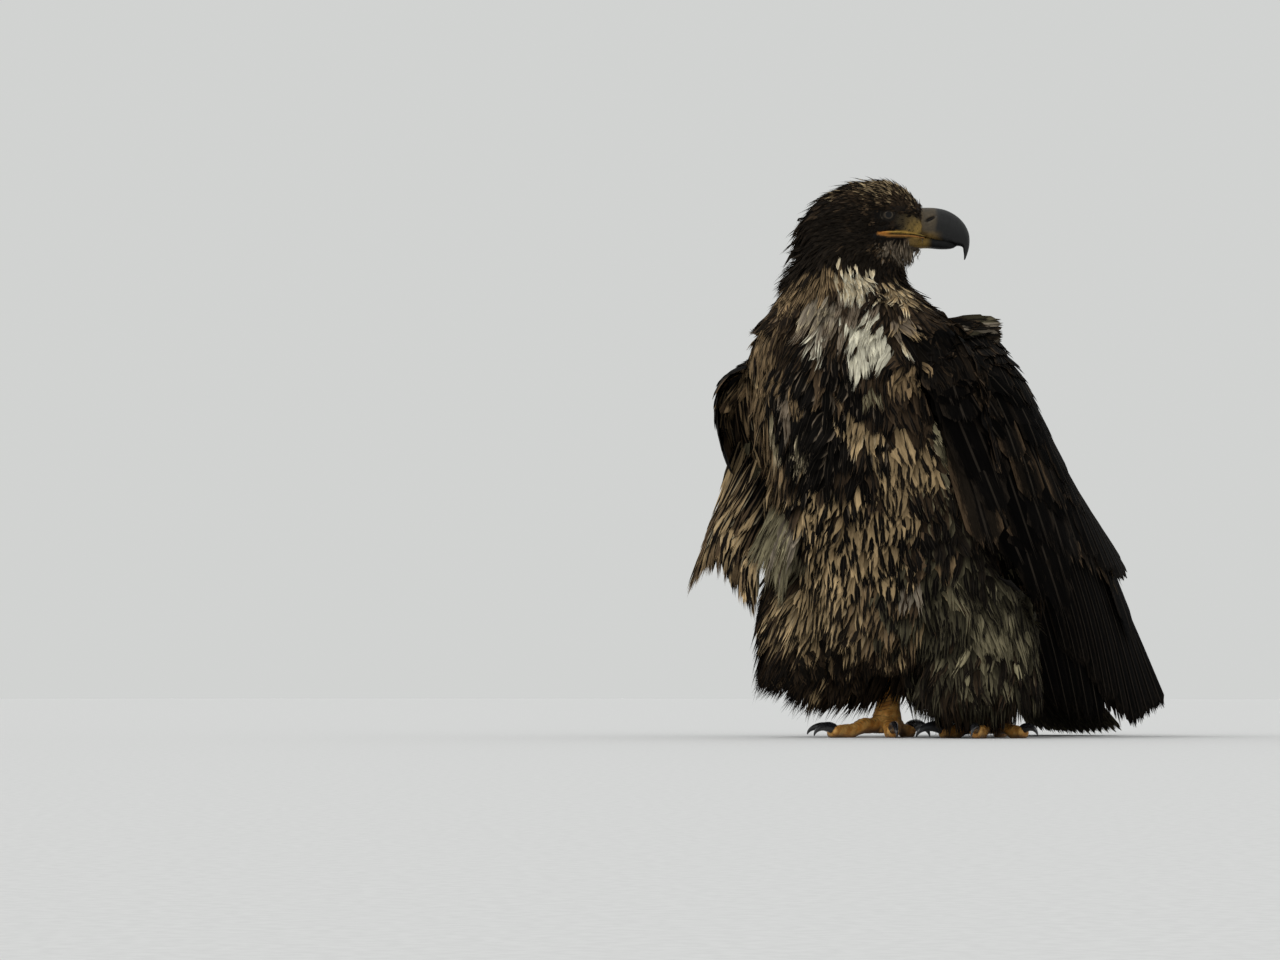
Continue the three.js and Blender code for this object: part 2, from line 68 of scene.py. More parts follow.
# small helpers
def mix(a, b, t):
    return a + (b - a) * t


def ease(t):
    c = np.clip(t, 0, 1)
    return c * c * (3 - 2 * c)


def unit(v):
    return v / np.maximum(np.linalg.norm(v, axis=-1, keepdims=True), 1e-9)


def around(count):
    return np.linspace(0, 2 * math.pi, count, endpoint=False)


def through(rows):
    # smooth curve through rows of station and values
    rows = [np.array(row, float) for row in rows]

    def at(s):
        last = len(rows) - 1
        k = 0
        while k < last - 1 and s > rows[k + 1][0]:
            k += 1
        before, start, end, after = rows[max(0, k - 1)], rows[k], rows[k + 1], rows[min(last, k + 2)]
        span = end[0] - start[0]
        t = min(1, max(0, (s - start[0]) / span))
        v0, v1 = start[1:], end[1:]
        m0 = v1 - v0 if k == 0 else (v1 - before[1:]) / (end[0] - before[0]) * span
        m1 = v1 - v0 if k + 1 == last else (after[1:] - v0) / (after[0] - start[0]) * span
        t2, t3 = t * t, t * t * t
        return (2 * t3 - 3 * t2 + 1) * v0 + (t3 - 2 * t2 + t) * m0 + (3 * t2 - 2 * t3) * v1 + (t3 - t2) * m1
    return at


def sheetThrough(rows):
    # a smooth sheet through rows of places: p runs across a row, q down the rows
    count = len(rows[0])
    down = through([[k / (len(rows) - 1), *np.array(row, float).ravel()] for k, row in enumerate(rows)])

    def at(p, q):
        places = down(q).reshape(count, 3)
        return through([[j / (count - 1), *place] for j, place in enumerate(places)])(p)
    return at


def ripple(points, size, seed):
    # smooth noise from -1 to 1 with features about size millimetres across
    pick = random.Random(seed)
    total = np.zeros(len(points))
    for _ in range(6):
        way = np.array([pick.gauss(0, 1) for _ in range(3)])
        way *= 2 * math.pi / size / np.linalg.norm(way) * pick.uniform(0.6, 1.5)
        total += np.sin(points @ way + pick.uniform(0, 6.3))
    return total / 3.2


turnCos, turnSin = math.cos(bird["headTurn"]), math.sin(bird["headTurn"])


def headWay(across, forward, up):
    return np.array([turnCos * across + turnSin * forward, turnSin * across - turnCos * forward, up], float)


def headPoint(across, forward, up):
    return bird["headPlace"] + headWay(across, forward, up)


def inHead(points):
    # across, forward and up of points in the head's own frame
    d = points - bird["headPlace"]
    across = turnCos * d[..., 0] + turnSin * d[..., 1]
    forward = turnSin * d[..., 0] - turnCos * d[..., 1]
    return across, forward, d[..., 2]


def headNear(points, reach, blend):
    # 1 near the head, fading to 0 at reach from its middle
    return ease((reach - np.linalg.norm(points - bird["headPlace"], axis=1)) / blend)


def meshFrom(name, points, loops, sizes, sharp=None):
    mesh = bpy.data.meshes.new(name)
    mesh.vertices.add(len(points))
    mesh.vertices.foreach_set("co", (points * 0.001 + origin).astype(np.float32).ravel())
    mesh.loops.add(len(loops))
    mesh.loops.foreach_set("vertex_index", loops.astype(np.int32))
    starts = np.concatenate([[0], np.cumsum(sizes)[:-1]])
    mesh.polygons.add(len(sizes))
    mesh.polygons.foreach_set("loop_start", starts.astype(np.int32))
    mesh.polygons.foreach_set("use_smooth", np.ones(len(sizes), bool))
    mesh.update(calc_edges=True)
    if sharp:
        mesh.set_sharp_from_angle(angle=math.radians(sharp))
    return mesh


def setValues(mesh, name, values):
    kind = "FLOAT_COLOR" if values.shape[1] == 4 else "FLOAT_VECTOR"
    layer = mesh.attributes.new(name, kind, "POINT")
    layer.data.foreach_set("color" if kind == "FLOAT_COLOR" else "vector", values.astype(np.float32).ravel())


def withAlpha(colours):
    return np.concatenate([np.clip(colours, 0, 1), np.ones((len(colours), 1))], 1)


def setTints(mesh, colours):
    setValues(mesh, "tint", withAlpha(colours))


def setUv(mesh, values):
    layer = mesh.uv_layers.new(name="OFBake")
    layer.data.foreach_set("uv", values.astype(np.float32).ravel())


def addPiece(name, mesh, material, replaced=()):
    mesh.materials.append(material)
    piece = bpy.data.objects.new(name, mesh)
    bpy.context.scene.collection.objects.link(piece)
    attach(piece, "root")
    if replaced:
        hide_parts(*replaced)
    return piece


def gridFaces(rows, columns, wrap=True):
    # quads of a grid, row after row, closed round each row when wrap is set
    faces = []
    for i in range(rows - 1):
        for j in range(columns if wrap else columns - 1):
            a = i * columns + j
            b = i * columns + (j + 1) % columns
            faces.append((a, b, b + columns, a + columns))
    return faces


def tubeFaces(rows, columns):
    # the sides of a closed tube, and a fan to a middle point at each end
    faces = gridFaces(rows, columns)
    first, last, top = rows * columns, rows * columns + 1, (rows - 1) * columns
    for j in range(columns):
        faces.append((first, (j + 1) % columns, j))
        faces.append((last, top + j, top + (j + 1) % columns))
    return faces


def ringTube(rings):
    rings = np.array(rings)
    points = np.concatenate([rings.reshape(-1, 3), rings[0].mean(0)[None], rings[-1].mean(0)[None]])
    return points, tubeFaces(*rings.shape[:2])


def tubeMesh(name, rings, flip=False):
    # a closed tube through rings of points
    points, faces = ringTube(rings)
    if flip:
        faces = [face[::-1] for face in faces]
    loops = np.array([v for face in faces for v in face])
    sizes = np.array([len(face) for face in faces])
    return meshFrom(name, points, loops, sizes)


# body sections, the same as the solids'
columnAt = through([
    [56, -12, 0, 56, 44], [72, -12, 1, 96, 72], [108, -12, 2, 120, 100], [150, -10, 0, 126, 113],
    [200, -8, -10, 126, 120], [260, -3, -42, 124, 115], [320, -1, -74, 124, 102], [358, -2, -92, 121, 88],
    [378, -4, -100, 106, 78], [393, -6, -106, 86, 71], [408, -8, -111, 66, 64], [428, -8, -112, 54, 58],
    [456, -5, -108, 46, 52], [480, -2, -105, 36, 42],
])
thighAt = {
    "left": through([[28, 50, 0, 38, 42], [38, 56, -2, 47, 55], [60, 62, -3, 54, 64],
                     [110, 66, -4, 57, 68], [160, 64, -8, 54, 64], [215, 52, -14, 38, 48]]),
    "right": through([[44, -70, -18, 32, 38], [56, -80, -24, 50, 58], [80, -90, -29, 64, 75],
                      [112, -93, -32, 65, 78], [160, -87, -28, 58, 72], [215, -66, -20, 40, 52]]),
}


def onOval(section, angle, height):
    # a place on a level section: 0 degrees faces ahead, 90 the bird's left
    x, y, a, b = section(height)
    turn = math.radians(angle)
    return np.array([x + a * math.sin(turn), y - b * math.cos(turn), height])


def onBody(angle, height):
    return onOval(columnAt, angle, height)


def onThigh(side, angle, height):
    return onOval(thighAt[side], angle, height)


wingRow = through([
    [0.0, 72, -116, 350, 98, -40, 372, 58, 25, 364], [0.2, 97, -127, 321, 131, -45, 328, 76, 48, 326],
    [0.4, 110, -104, 262, 141, -14, 265, 90, 84, 268], [0.6, 108, -50, 185, 140, 34, 190, 104, 146, 195],
    [0.8, 88, 45, 98, 117, 120, 98, 102, 216, 112], [1.0, 66, 135, -3, 87, 203, -5, 94, 290, 24],
])
rightWristShift = np.array([36.0, -18.0, 14.0])


def wingPoint(side, p, q):
    r = wingRow(min(1, max(0, q)))
    point = (1 - p) * (1 - 2 * p) * r[0:3] + 4 * p * (1 - p) * r[3:6] + p * (2 * p - 1) * r[6:9]
    if side == "right":
        hold = (1 - 0.75 * ease(p)) * math.sin(math.pi * min(1, max(0, q + 0.15)))
        point = point + rightWristShift * hold
        point[0] = -point[0]
    return point


def wingNormal(side, p, q):
    step = 0.02
    q0 = min(max(q, 0), 1 - step)
    along = wingPoint(side, p, q0 + step) - wingPoint(side, p, max(0, q0 - step))
    across = wingPoint(side, p + step, q0) - wingPoint(side, p - step, q0)
    n = np.cross(across, along)
    n /= np.linalg.norm(n)
    return n * math.copysign(1, n[0]) * sideSign[side]


def wingAt(side, p, q, out):
    return wingPoint(side, p, q) + wingNormal(side, p, q) * out


def onWing(side):
    return lambda p, q, out: wingAt(side, p, q, out)


tailRoot = np.array([0.0, 66.0, 190.0])
tailTip = np.array([0.0, 274.0, -3.5])


def tailAt(p, q, out):
    s = 2 * p - 1
    along = tailTip - tailRoot
    up = unit(np.array([0, -along[2], along[1]]))
    sag = math.sin(math.pi * q) * 8
    rise = out - sag + 10 * (1 - s * s) * (1 - ease(q))
    return tailRoot + along * q + np.array([s * mix(24, 54, q), 0, 0]) + up * rise


skullAt = through([
    [-60, -8, -30, 12], [-54, 0, -40, 25], [-40, 14, -48, 35], [-20, 26.5, -52, 41], [0, 32, -51, 40],
    [17, 34, -46, 36], [32, 32, -45, 30], [45, 25, -42, 22], [54, 16.5, -36, 17.5], [60, 7, -32, 14.2],
])


def skullSide(forward, up):
    # how far out the side of the skull is
    top, bottom, half = skullAt(forward)
    s = (2 * up - top - bottom) / (top - bottom)
    return half * math.sqrt(max(0.0, 1 - s * s))


# node materials
def newTree(name):
    material = bpy.data.materials.new(name)
    material.use_nodes = True
    tree = material.node_tree
    tree.nodes.clear()
    return material, tree


def node(tree, kind, inputs=None, **settings):
    made = tree.nodes.new("ShaderNode" + kind)
    for key, value in settings.items():
        setattr(made, key, value)
    for key, value in (inputs or {}).items():
        if isinstance(value, bpy.types.NodeSocket):
            tree.links.new(value, made.inputs[key])
        else:
            made.inputs[key].default_value = value
    return made


def sums(tree, operation, *values):
    made = node(tree, "Math", dict(enumerate(values)), operation=operation)
    return made.outputs[0]


def times(tree, a, b):
    return sums(tree, "MULTIPLY", a, b)


def band(tree, value, low, high, start=0.0, end=1.0):
    made = node(tree, "MapRange", {"Value": value, "From Min": low, "From Max": high,
                                   "To Min": start, "To Max": end}, interpolation_type="SMOOTHSTEP")
    return made.outputs[0]


def blendColour(tree, share, a, b, way="MIX"):
    made = node(tree, "Mix", {0: share, 6: a, 7: b}, data_type="RGBA", blend_type=way)
    return made.outputs[2]


def vector(tree, x, y, z):
    return node(tree, "CombineXYZ", {0: x, 1: y, 2: z}).outputs[0]


def shaded(tree, colour, light):
    # the colour made lighter or darker by a number
    return blendColour(tree, 1.0, colour, vector(tree, light, light, light), "MULTIPLY")


def noise(tree, place, scale, detail, roughness=0.5):
    return node(tree, "TexNoise", {"Vector": place, "Scale": scale, "Detail": detail,
                                   "Roughness": roughness}).outputs[0]


def bumped(tree, height, strength, depth):
    return node(tree, "Bump", {"Height": height, "Strength": strength, "Distance": depth}).outputs[0]


def finishTree(tree, colour, roughness, gloss, others):
    shader = node(tree, "BsdfPrincipled", {"Base Color": colour, "Roughness": roughness,
                                           "Specular IOR Level": gloss, **others})
    node(tree, "OutputMaterial", {"Surface": shader.outputs[0]})


def attribute(tree, name, output="Vector"):
    return node(tree, "Attribute", attribute_name=name, attribute_type="GEOMETRY").outputs[output]


def threeOf(tree, name):
    # the three numbers that a piece carries under this name
    return node(tree, "SeparateXYZ", {0: attribute(tree, name)}).outputs


plumage = {
    "roughness": 0.8,
    "gloss": 0.035,
    "flightRoughness": 0.75, "flightGloss": 0.02,
    "barbLight": 0.36,    # how much fine barbs lighten and darken the vane
    "rootShade": 0.36,    # painted shade: the light left at the root of a feather, which lies under the others
    "paleRoot": 0.82,     # the same on white down
    "bump": 0.4, "bumpDepth": 0.0006,
}


def plumageMaterial(name, roughness, gloss):
    material, tree = newTree(name)
    across, along, seed = threeOf(tree, "vane")
    halfWidth, length, shaft = threeOf(tree, "size")
    streakWidth, tipShare, fringe = threeOf(tree, "mark")
    edge = sums(tree, "ABSOLUTE", across)
    sideways = times(tree, across, halfWidth)
    slant = times(tree, edge, times(tree, halfWidth, 0.9))
    lengthways = sums(tree, "SUBTRACT", times(tree, along, length), slant)
    spot = vector(tree, times(tree, sideways, 1.5), times(tree, lengthways, 0.16), times(tree, seed, 97.0))
    barbs = noise(tree, spot, 1.0, 2.0, 0.6)
    cloud = noise(tree, spot, 0.28, 1.0)
    wobble = times(tree, sums(tree, "SUBTRACT", barbs, 0.5), 0.5)
    streakEdge = sums(tree, "ADD", edge, wobble)
    own = sums(tree, "FRACT", times(tree, seed, 57.3))
    broad = times(tree, streakWidth, sums(tree, "ADD", 0.55, times(tree, own, 0.9)))
    drop = times(tree, band(tree, along, 0.15, 0.78, 0.25, 1.5), band(tree, along, 0.84, 1.0, 1.0, 0.35))
    taper = times(tree, broad, drop)
    streak = band(tree, sums(tree, "SUBTRACT", streakEdge, taper), -0.07, 0.10, 1.0, 0.0)
    streak = times(tree, streak, band(tree, streakWidth, 0.0, 0.06))
    tipStart = sums(tree, "SUBTRACT", 1.0, tipShare)
    tipPart = band(tree, sums(tree, "SUBTRACT", sums(tree, "ADD", along, wobble), tipStart), -0.1, 0.1)
    rim = times(tree, band(tree, streakEdge, 0.62, 0.95), fringe)
    tint = attribute(tree, "tint", "Color")
    colour = blendColour(tree, sums(tree, "MAXIMUM", tipPart, rim), tint, attribute(tree, "tip", "Color"))
    colour = blendColour(tree, streak, colour, attribute(tree, "streak", "Color"))
    shaftLine = times(tree, band(tree, edge, 0.03, 0.09, 1.0, 0.0), shaft)
    colour = blendColour(tree, times(tree, shaftLine, 0.5), colour, (0.05, 0.04, 0.03, 1))
    light = sums(tree, "ADD", times(tree, barbs, 1.1), times(tree, cloud, 0.9))
    light = band(tree, light, 0.55, 1.45, 1 - plumage["barbLight"], 1 + plumage["barbLight"])
    pale = node(tree, "RGBToBW", {0: tint}).outputs[0]
    # painted shade: each feather darker towards its root, where it lies under the others; less on pale down
    paintedRootShade = band(tree, pale, 0.10, 0.34, plumage["rootShade"], plumage["paleRoot"])
    paintedRootShade = node(tree, "Mix", {0: band(tree, along, 0.12, 0.62), 2: paintedRootShade, 3: 1.0},
                  data_type="FLOAT").outputs[0]
    colour = shaded(tree, colour, times(tree, light, paintedRootShade))
    normal = bumped(tree, barbs, plumage["bump"], plumage["bumpDepth"])
    finishTree(tree, colour, roughness, gloss, {"Normal": normal})
    return material


def surfaceMaterial(name, roughness, gloss, scale, depth, spread=0.3, cells=False, coat=0.0):
    # colour from the piece's own tint, broken up by fine grain
    material, tree = newTree(name)
    place = node(tree, "TexCoord").outputs["Object"]
    fine = noise(tree, place, scale, 5.0, 0.65)
    broad = noise(tree, place, scale * 0.16, 3.0)
    light = sums(tree, "ADD", fine, broad)
    light = band(tree, light, 0.6, 1.4, 1 - spread, 1 + spread)
    colour = shaded(tree, attribute(tree, "tint", "Color"), light)
    height = fine
    if cells:
        pores = node(tree, "TexVoronoi", {"Vector": place, "Scale": scale * 2.2}, feature="DISTANCE_TO_EDGE")
        height = band(tree, pores.outputs["Distance"], 0.0, 0.25)
        colour = shaded(tree, colour, band(tree, pores.outputs["Distance"], 0.0, 0.12, 0.7, 1.0))
    rough = band(tree, broad, 0.3, 0.7, roughness - 0.08, roughness + 0.08)
    finishTree(tree, colour, rough, gloss, {"Coat Weight": coat, "Normal": bumped(tree, height, 0.5, depth)})
    return material


featherFinish = plumageMaterial("plumage", plumage["roughness"], plumage["gloss"])
flightFinish = plumageMaterial("flightPlumage", plumage["flightRoughness"], plumage["flightGloss"])
skinFinish = surfaceMaterial("skin", 0.68, 0.14, 900, 0.0003, cells=True)
print("materials made")


# colours and markings
palette = {
    "black": (0.0050, 0.0042, 0.0036),
    "ink": (0.0021, 0.0018, 0.0016),
    "sooty": (0.013, 0.0098, 0.0070),
    "umber": (0.040, 0.0265, 0.0160),
    "brown": (0.090, 0.059, 0.034),
    "tan": (0.195, 0.132, 0.070),
    "buff": (0.36, 0.255, 0.135),
    "cream": (0.52, 0.43, 0.28),
    "white": (0.66, 0.62, 0.48),
    "olive": (0.185, 0.160, 0.096),
    "moss": (0.060, 0.052, 0.032),
    "grey": (0.235, 0.195, 0.145),
    "dun": (0.175, 0.135, 0.095),
}

# middle, reach sideways, reach up and down, vane, streak, tip, streak width, tip share, fringe
marks = {
    "back": (onBody(180, 300), 130, 130, "sooty", "black", "umber", 0.12, 0.10, 0.5),
    "neckAll": (onBody(0, 430), 130, 40, "sooty", "black", "umber", 0.1, 0.25, 0.5),
    "chest": (onBody(30, 340), 92, 50, "umber", "black", "brown", 0.22, 0.1, 0.7),
    "shoulder": (onBody(-48, 300), 62, 92, "black", "tan", "buff", 0.36, 0.05, 0.25),
    "shoulderUp": (onBody(-46, 352), 44, 36, "sooty", "tan", "buff", 0.42, 0.08, 0.35),
    "leftChest": (onBody(80, 310), 50, 74, "black", "black", "umber", 0.2, 0.1, 0.5),
    "belly": (onBody(4, 148), 82, 100, "buff", "black", "tan", 0.26, 0.0, 0.25),
    "bellySide": (onBody(46, 146), 38, 62, "brown", "black", "tan", 0.4, 0.1, 0.3),
    "bellyUp": (onBody(38, 232), 34, 36, "buff", "sooty", "tan", 0.22, 0.0, 0.25),
    "bellyLow": (onBody(10, 92), 56, 34, "tan", "sooty", "grey", 0.24, 0.0, 0.3),
    "darkHeart": (onBody(-2, 272), 62, 66, "black", "ink", "dun", 0.1, 0.04, 0.75),
    "darkBand": (onBody(64, 330), 56, 15, "black", "black", "umber", 0.1, 0.05, 0.3),
    "darkHip": (onBody(48, 176), 27, 24, "sooty", "black", "moss", 0.3, 0.1, 0.6),
    "paleRow": (onBody(42, 318), 22, 12, "tan", "sooty", "buff", 0.2, 0.1, 0.3),
    "paleMid": (onBody(0, 314), 12, 14, "brown", "umber", "tan", 0.1, 0.2, 0.4),
    "palePair": (onBody(19, 266), 19, 19, "buff", "sooty", "cream", 0.1, 0.1, 0.4),
    "paleSmall": (onBody(27, 304), 9, 9, "olive", "umber", "buff", 0.1, 0.1, 0.4),
    "paleStrip": (onBody(57, 262), 9, 34, "olive", "moss", "cream", 0.05, 0.1, 0.4),
    "heartGap": (onBody(-14, 300), 10, 12, "tan", "sooty", "buff", 0.16, 0.1, 0.5),
    "heartGapLow": (onBody(-6, 262), 9, 9, "tan", "black", "olive", 0.3, 0.1, 0.5),
    "heartFold": (onBody(-20, 292), 7, 20, "dun", "umber", "grey", 0.1, 0.2, 0.5),
    "heartSpot": (onBody(10, 296), 9, 9, "brown", "black", "buff", 0.2, 0.2, 0.6),
    "heartLow": (onBody(14, 238), 16, 14, "black", "ink", "umber", 0.1, 0.1, 0.5),
    "mottle": (onBody(46, 204), 21, 22, "umber", "black", "olive", 0.3, 0.1, 0.6),
    "collarLeft": (onBody(-34, 397), 46, 16, "tan", "umber", "buff", 0.24, 0.3, 0.4),
    "chestBlur": (onBody(12, 374), 38, 25, "dun", "umber", "grey", 0.14, 0.25, 0.4),
    "blurLight": (onBody(4, 381), 19, 14, "grey", "dun", "cream", 0.06, 0.3, 0.4),
    "chestWhite": (onBody(27, 351), 24, 24, "white", "grey", "white", 0.04, 0.4, 0.5),
    "chestSpot": (onBody(46, 354), 12, 12, "cream", "dun", "white", 0.08, 0.3, 0.4),
    "bandPale": (onBody(50, 368), 20, 14, "dun", "umber", "buff", 0.12, 0.35, 0.5),
    "chestFlecks": (onBody(1, 348), 11, 15, "grey", "umber", "white", 0.14, 0.4, 0.6),
    "brightFleck": (onBody(60, 328), 6, 6, "cream", "umber", "white", 0.05, 0.4, 0.6),
    "sideMark": (onBody(-31, 262), 9, 31, "olive", "umber", "cream", 0.06, 0.3, 0.6),
    "heartEdge": (onBody(-13, 254), 11, 12, "moss", "sooty", "cream", 0.12, 0.2, 0.7),
    "rightHip": (onThigh("right", -60, 90), 72, 72, "brown", "black", "tan", 0.4, 0.1, 0.45),
    "thighFront": (onThigh("right", 26, 82), 52, 56, "buff", "sooty", "cream", 0.30, 0.1, 0.4),
    "thighLow": (onThigh("right", -20, 52), 70, 18, "umber", "black", "brown", 0.3, 0.1, 0.5),
    "thighPale": (onThigh("right", -8, 160), 24, 34, "olive", "moss", "grey", 0.06, 0.1, 0.4),
    # the left thigh: dark plumage, darkened further as painted shade of the left wing over it
    "leftThigh": (onThigh("left", 60, 90), 92, 92, "moss", "black", "olive", 0.24, 0.1, 0.45),
    "sideDark": (onBody(72, 184), 44, 58, "sooty", "black", "moss", 0.2, 0.1, 0.6),
    "spotA": (onBody(29, 122), 9, 12, "grey", "umber", "olive", 0.12, 0.1, 0.4),
    "spotB": (onThigh("left", 22, 112), 12, 18, "olive", "umber", "buff", 0.12, 0.1, 0.4),
    "spotC": (onBody(62, 215), 11, 12, "olive", "umber", "buff", 0.12, 0.1, 0.4),
    "spotD": (onThigh("left", 4, 150), 10, 11, "tan", "umber", "buff", 0.16, 0.1, 0.4),
    "ventPale": (onThigh("left", 62, 62), 36, 24, "olive", "moss", "grey", 0.1, 0.2, 0.4),
    "throatDark": (headPoint(0, 26, -48), 40, 26, "sooty", "black", "brown", 0.1, 0.3, 0.4),
    "jowl": (headPoint(0, 14, -40), 46, 17, "brown", "sooty", "tan", 0.22, 0.3, 0.5),
    "throatPale": (onBody(44, 410), 19, 18, "cream", "olive", "white", 0.0, 0.3, 0.4),
    "neckBuff": (onBody(77, 401), 28, 16, "buff", "umber", "cream", 0.2, 0.35, 0.5),
    "neckMid": (onBody(10, 408), 24, 15, "tan", "umber", "buff", 0.2, 0.3, 0.4),
    "face": (headPoint(0, -4, -14), 62, 36, "sooty", "black", "umber", 0.1, 0.10, 0.4),
    "chin": (headPoint(0, 40, -40), 42, 12, "dun", "umber", "grey", 0.1, 0.4, 0.5),
    "crownSides": (headPoint(0, 14, 38), 60, 35, "brown", "black", "tan", 0.3, 0.2, 0.5),
    "crown": (headPoint(0, 12, 40), 58, 29, "buff", "black", "cream", 0.4, 0.3, 0.6),
    "forehead": (headPoint(0, 60, 8), 13, 10, "umber", "black", "brown", 0.1, 0.15, 0.4),
}


def tonesAt(points, scatter=0.16):
    # for each place the colours and the pattern of the feather that grows there
    n = len(points)
    tones = {
        "tint": np.tile(palette["umber"], (n, 1)),
        "streak": np.tile(palette["black"], (n, 1)),
        "tip": np.tile(palette["brown"], (n, 1)),
        "mark": np.tile([0.15, 0.15, 0.4], (n, 1)),
    }
    blur = ripple(points, 34, 3) * 0.24 + ripple(points, 14, 4) * 0.2
    for middle, wide, tall, vane, streak, tip, streakWidth, tipShare, fringe in marks.values():
        d = points - middle
        far = np.sqrt((d[:, 0] ** 2 + d[:, 1] ** 2) / wide ** 2 + d[:, 2] ** 2 / tall ** 2)
        inside = far + blur + draw.normal(0, 1, n) * scatter < 1
        tones["tint"][inside] = palette[vane]
        tones["streak"][inside] = palette[streak]
        tones["tip"][inside] = palette[tip]
        tones["mark"][inside] = (streakWidth, tipShare, fringe)
    light = np.exp(draw.normal(0, 1, n) * scatter * 1.6)[:, None]
    for key in ("tint", "streak", "tip"):
        tones[key] = tones[key] * light
    return tones


# how the coat lies
windSide = np.array([0.82, 0.57, 0.0])     # the wind blows from this side
frontWay = np.array([0.57, -0.82, 0.0])
down = np.array([0.0, 0.0, -1.0])
# place, way the feathers point, spacing, length, width, lift, softness
lie = [
    (headPoint(0, 56, 8), headWay(0, -1, 0.75), 1.5, 8, 1.7, 2.2, 0.5),
    (headPoint(0, 47, 19), headWay(0, -1, 0.6), 1.8, 12, 2.1, 4.2, 0.5),
    (headPoint(0, 32, 29), headWay(0, -1, 0.45), 2.1, 18, 2.7, 6.0, 0.5),
    (headPoint(0, 12, 36), headWay(0, -1, 0.1), 2.3, 22, 2.9, 6.5, 0.5),
    (headPoint(0, -30, 20), headWay(0, -1, -0.35), 2.4, 21, 3.0, 6.4, 0.5),
    (headPoint(0, -56, -10), headWay(0, -0.95, -0.5), 3.0, 31, 3.4, 12.0, 0.5),
    (headPoint(0, -56, -40), headWay(0, -0.6, -0.8), 3.2, 34, 3.8, 12.5, 0.5),
    (headPoint(0, 52, -36), headWay(0, 0.15, -1), 2.9, 14, 0.8, 3.6, 0.5),
    (headPoint(0, 40, -44), headWay(0, 0.2, -1), 2.3, 19, 1.1, 4.6, 0.5),
    (headPoint(0, 26, -50), headWay(0, -0.2, -1), 2.6, 21, 2.4, 5.0, 0.5),
    (onBody(95, 408), down + 0.2 * windSide, 4.0, 26, 5.0, 3.4, 0.4),
    (onBody(35, 430), down + 0.1 * windSide, 3.2, 28, 3.6, 6.0, 0.5),
    (onBody(46, 411), down + 0.1 * windSide, 3.2, 26, 4.0, 6.5, 0.7),
    (onBody(-55, 430), down - 0.15 * windSide, 3.8, 29, 5.2, 4.2, 0.5),
    (onBody(125, 430), down + 0.2 * windSide, 4.0, 30, 5.4, 6.0, 0.5),
    (onBody(215, 430), down + np.array([0, 0.4, 0]), 4.4, 32, 7.0, 6.0, 0.4),
    (onBody(-10, 385), down - 0.6 * windSide, 4.8, 38, 7.0, 8.0, 0.75),
    (onBody(35, 368), down - 0.25 * windSide, 4.8, 38, 8.0, 8.0, 0.8),
    (onBody(70, 360), down + 0.35 * windSide, 5.6, 38, 9.5, 7.5, 0.6),
    (onBody(-70, 392), down - 0.2 * windSide, 4.6, 34, 6.4, 5.4, 0.6),
    (onBody(-60, 350), down - 0.2 * windSide, 5.4, 46, 8.0, 7.4, 0.6),
    (onBody(-45, 280), down - 0.35 * windSide, 5.4, 48, 8.0, 8.5, 0.6),
    (onBody(5, 300), down - 0.3 * windSide, 6.6, 44, 14.0, 9.0, 0.6),
    (onBody(40, 290), down + 0.08 * windSide, 6.8, 44, 15.0, 9.0, 0.6),
    (onBody(95, 290), down + 0.5 * windSide, 6.6, 44, 13.0, 7.0, 0.5),
    (onBody(-45, 215), down - 0.9 * windSide, 5.6, 50, 8.5, 10.0, 0.7),
    (onBody(-10, 215), down - 0.25 * windSide, 6.6, 34, 13.0, 8.5, 0.6),
    (onBody(22, 200), down + 0.02 * windSide, 6.8, 34, 14.0, 8.5, 0.6),
    (onBody(50, 200), down + 0.3 * windSide, 6.8, 34, 13.0, 8.5, 0.6),
    (onBody(10, 130), down - 0.08 * windSide, 6.6, 35, 13.0, 8.5, 0.6),
    (onBody(90, 190), down + 0.4 * windSide, 6.2, 42, 10.0, 8.0, 0.7),
    (onBody(30, 74), down, 5.4, 24, 8.0, 6.0, 0.8),
    (onThigh("right", 62, 56), down, 5.0, 17, 7.0, 5.0, 0.8),
    (onBody(180, 340), down + np.array([0, 0.5, 0]), 8.5, 48, 18, 6.0, 0.1),
    (onBody(180, 260), down + np.array([0, 0.8, 0]), 9.0, 50, 19, 6.0, 0.1),
    (onBody(180, 180), down + np.array([0, 1.2, 0]), 8.0, 46, 15, 6.5, 0.3),
    (onBody(180, 100), 0.5 * down + np.array([0, 1, 0]), 6.6, 46, 10.0, 8.0, 0.9),
    (onBody(100, 385), down + np.array([0.5, 0.4, 0]), 6.4, 38, 12, 5.0, 0.2),
    (onBody(260, 385), down + np.array([-0.5, 0.4, 0]), 6.4, 38, 12, 5.0, 0.2),
]
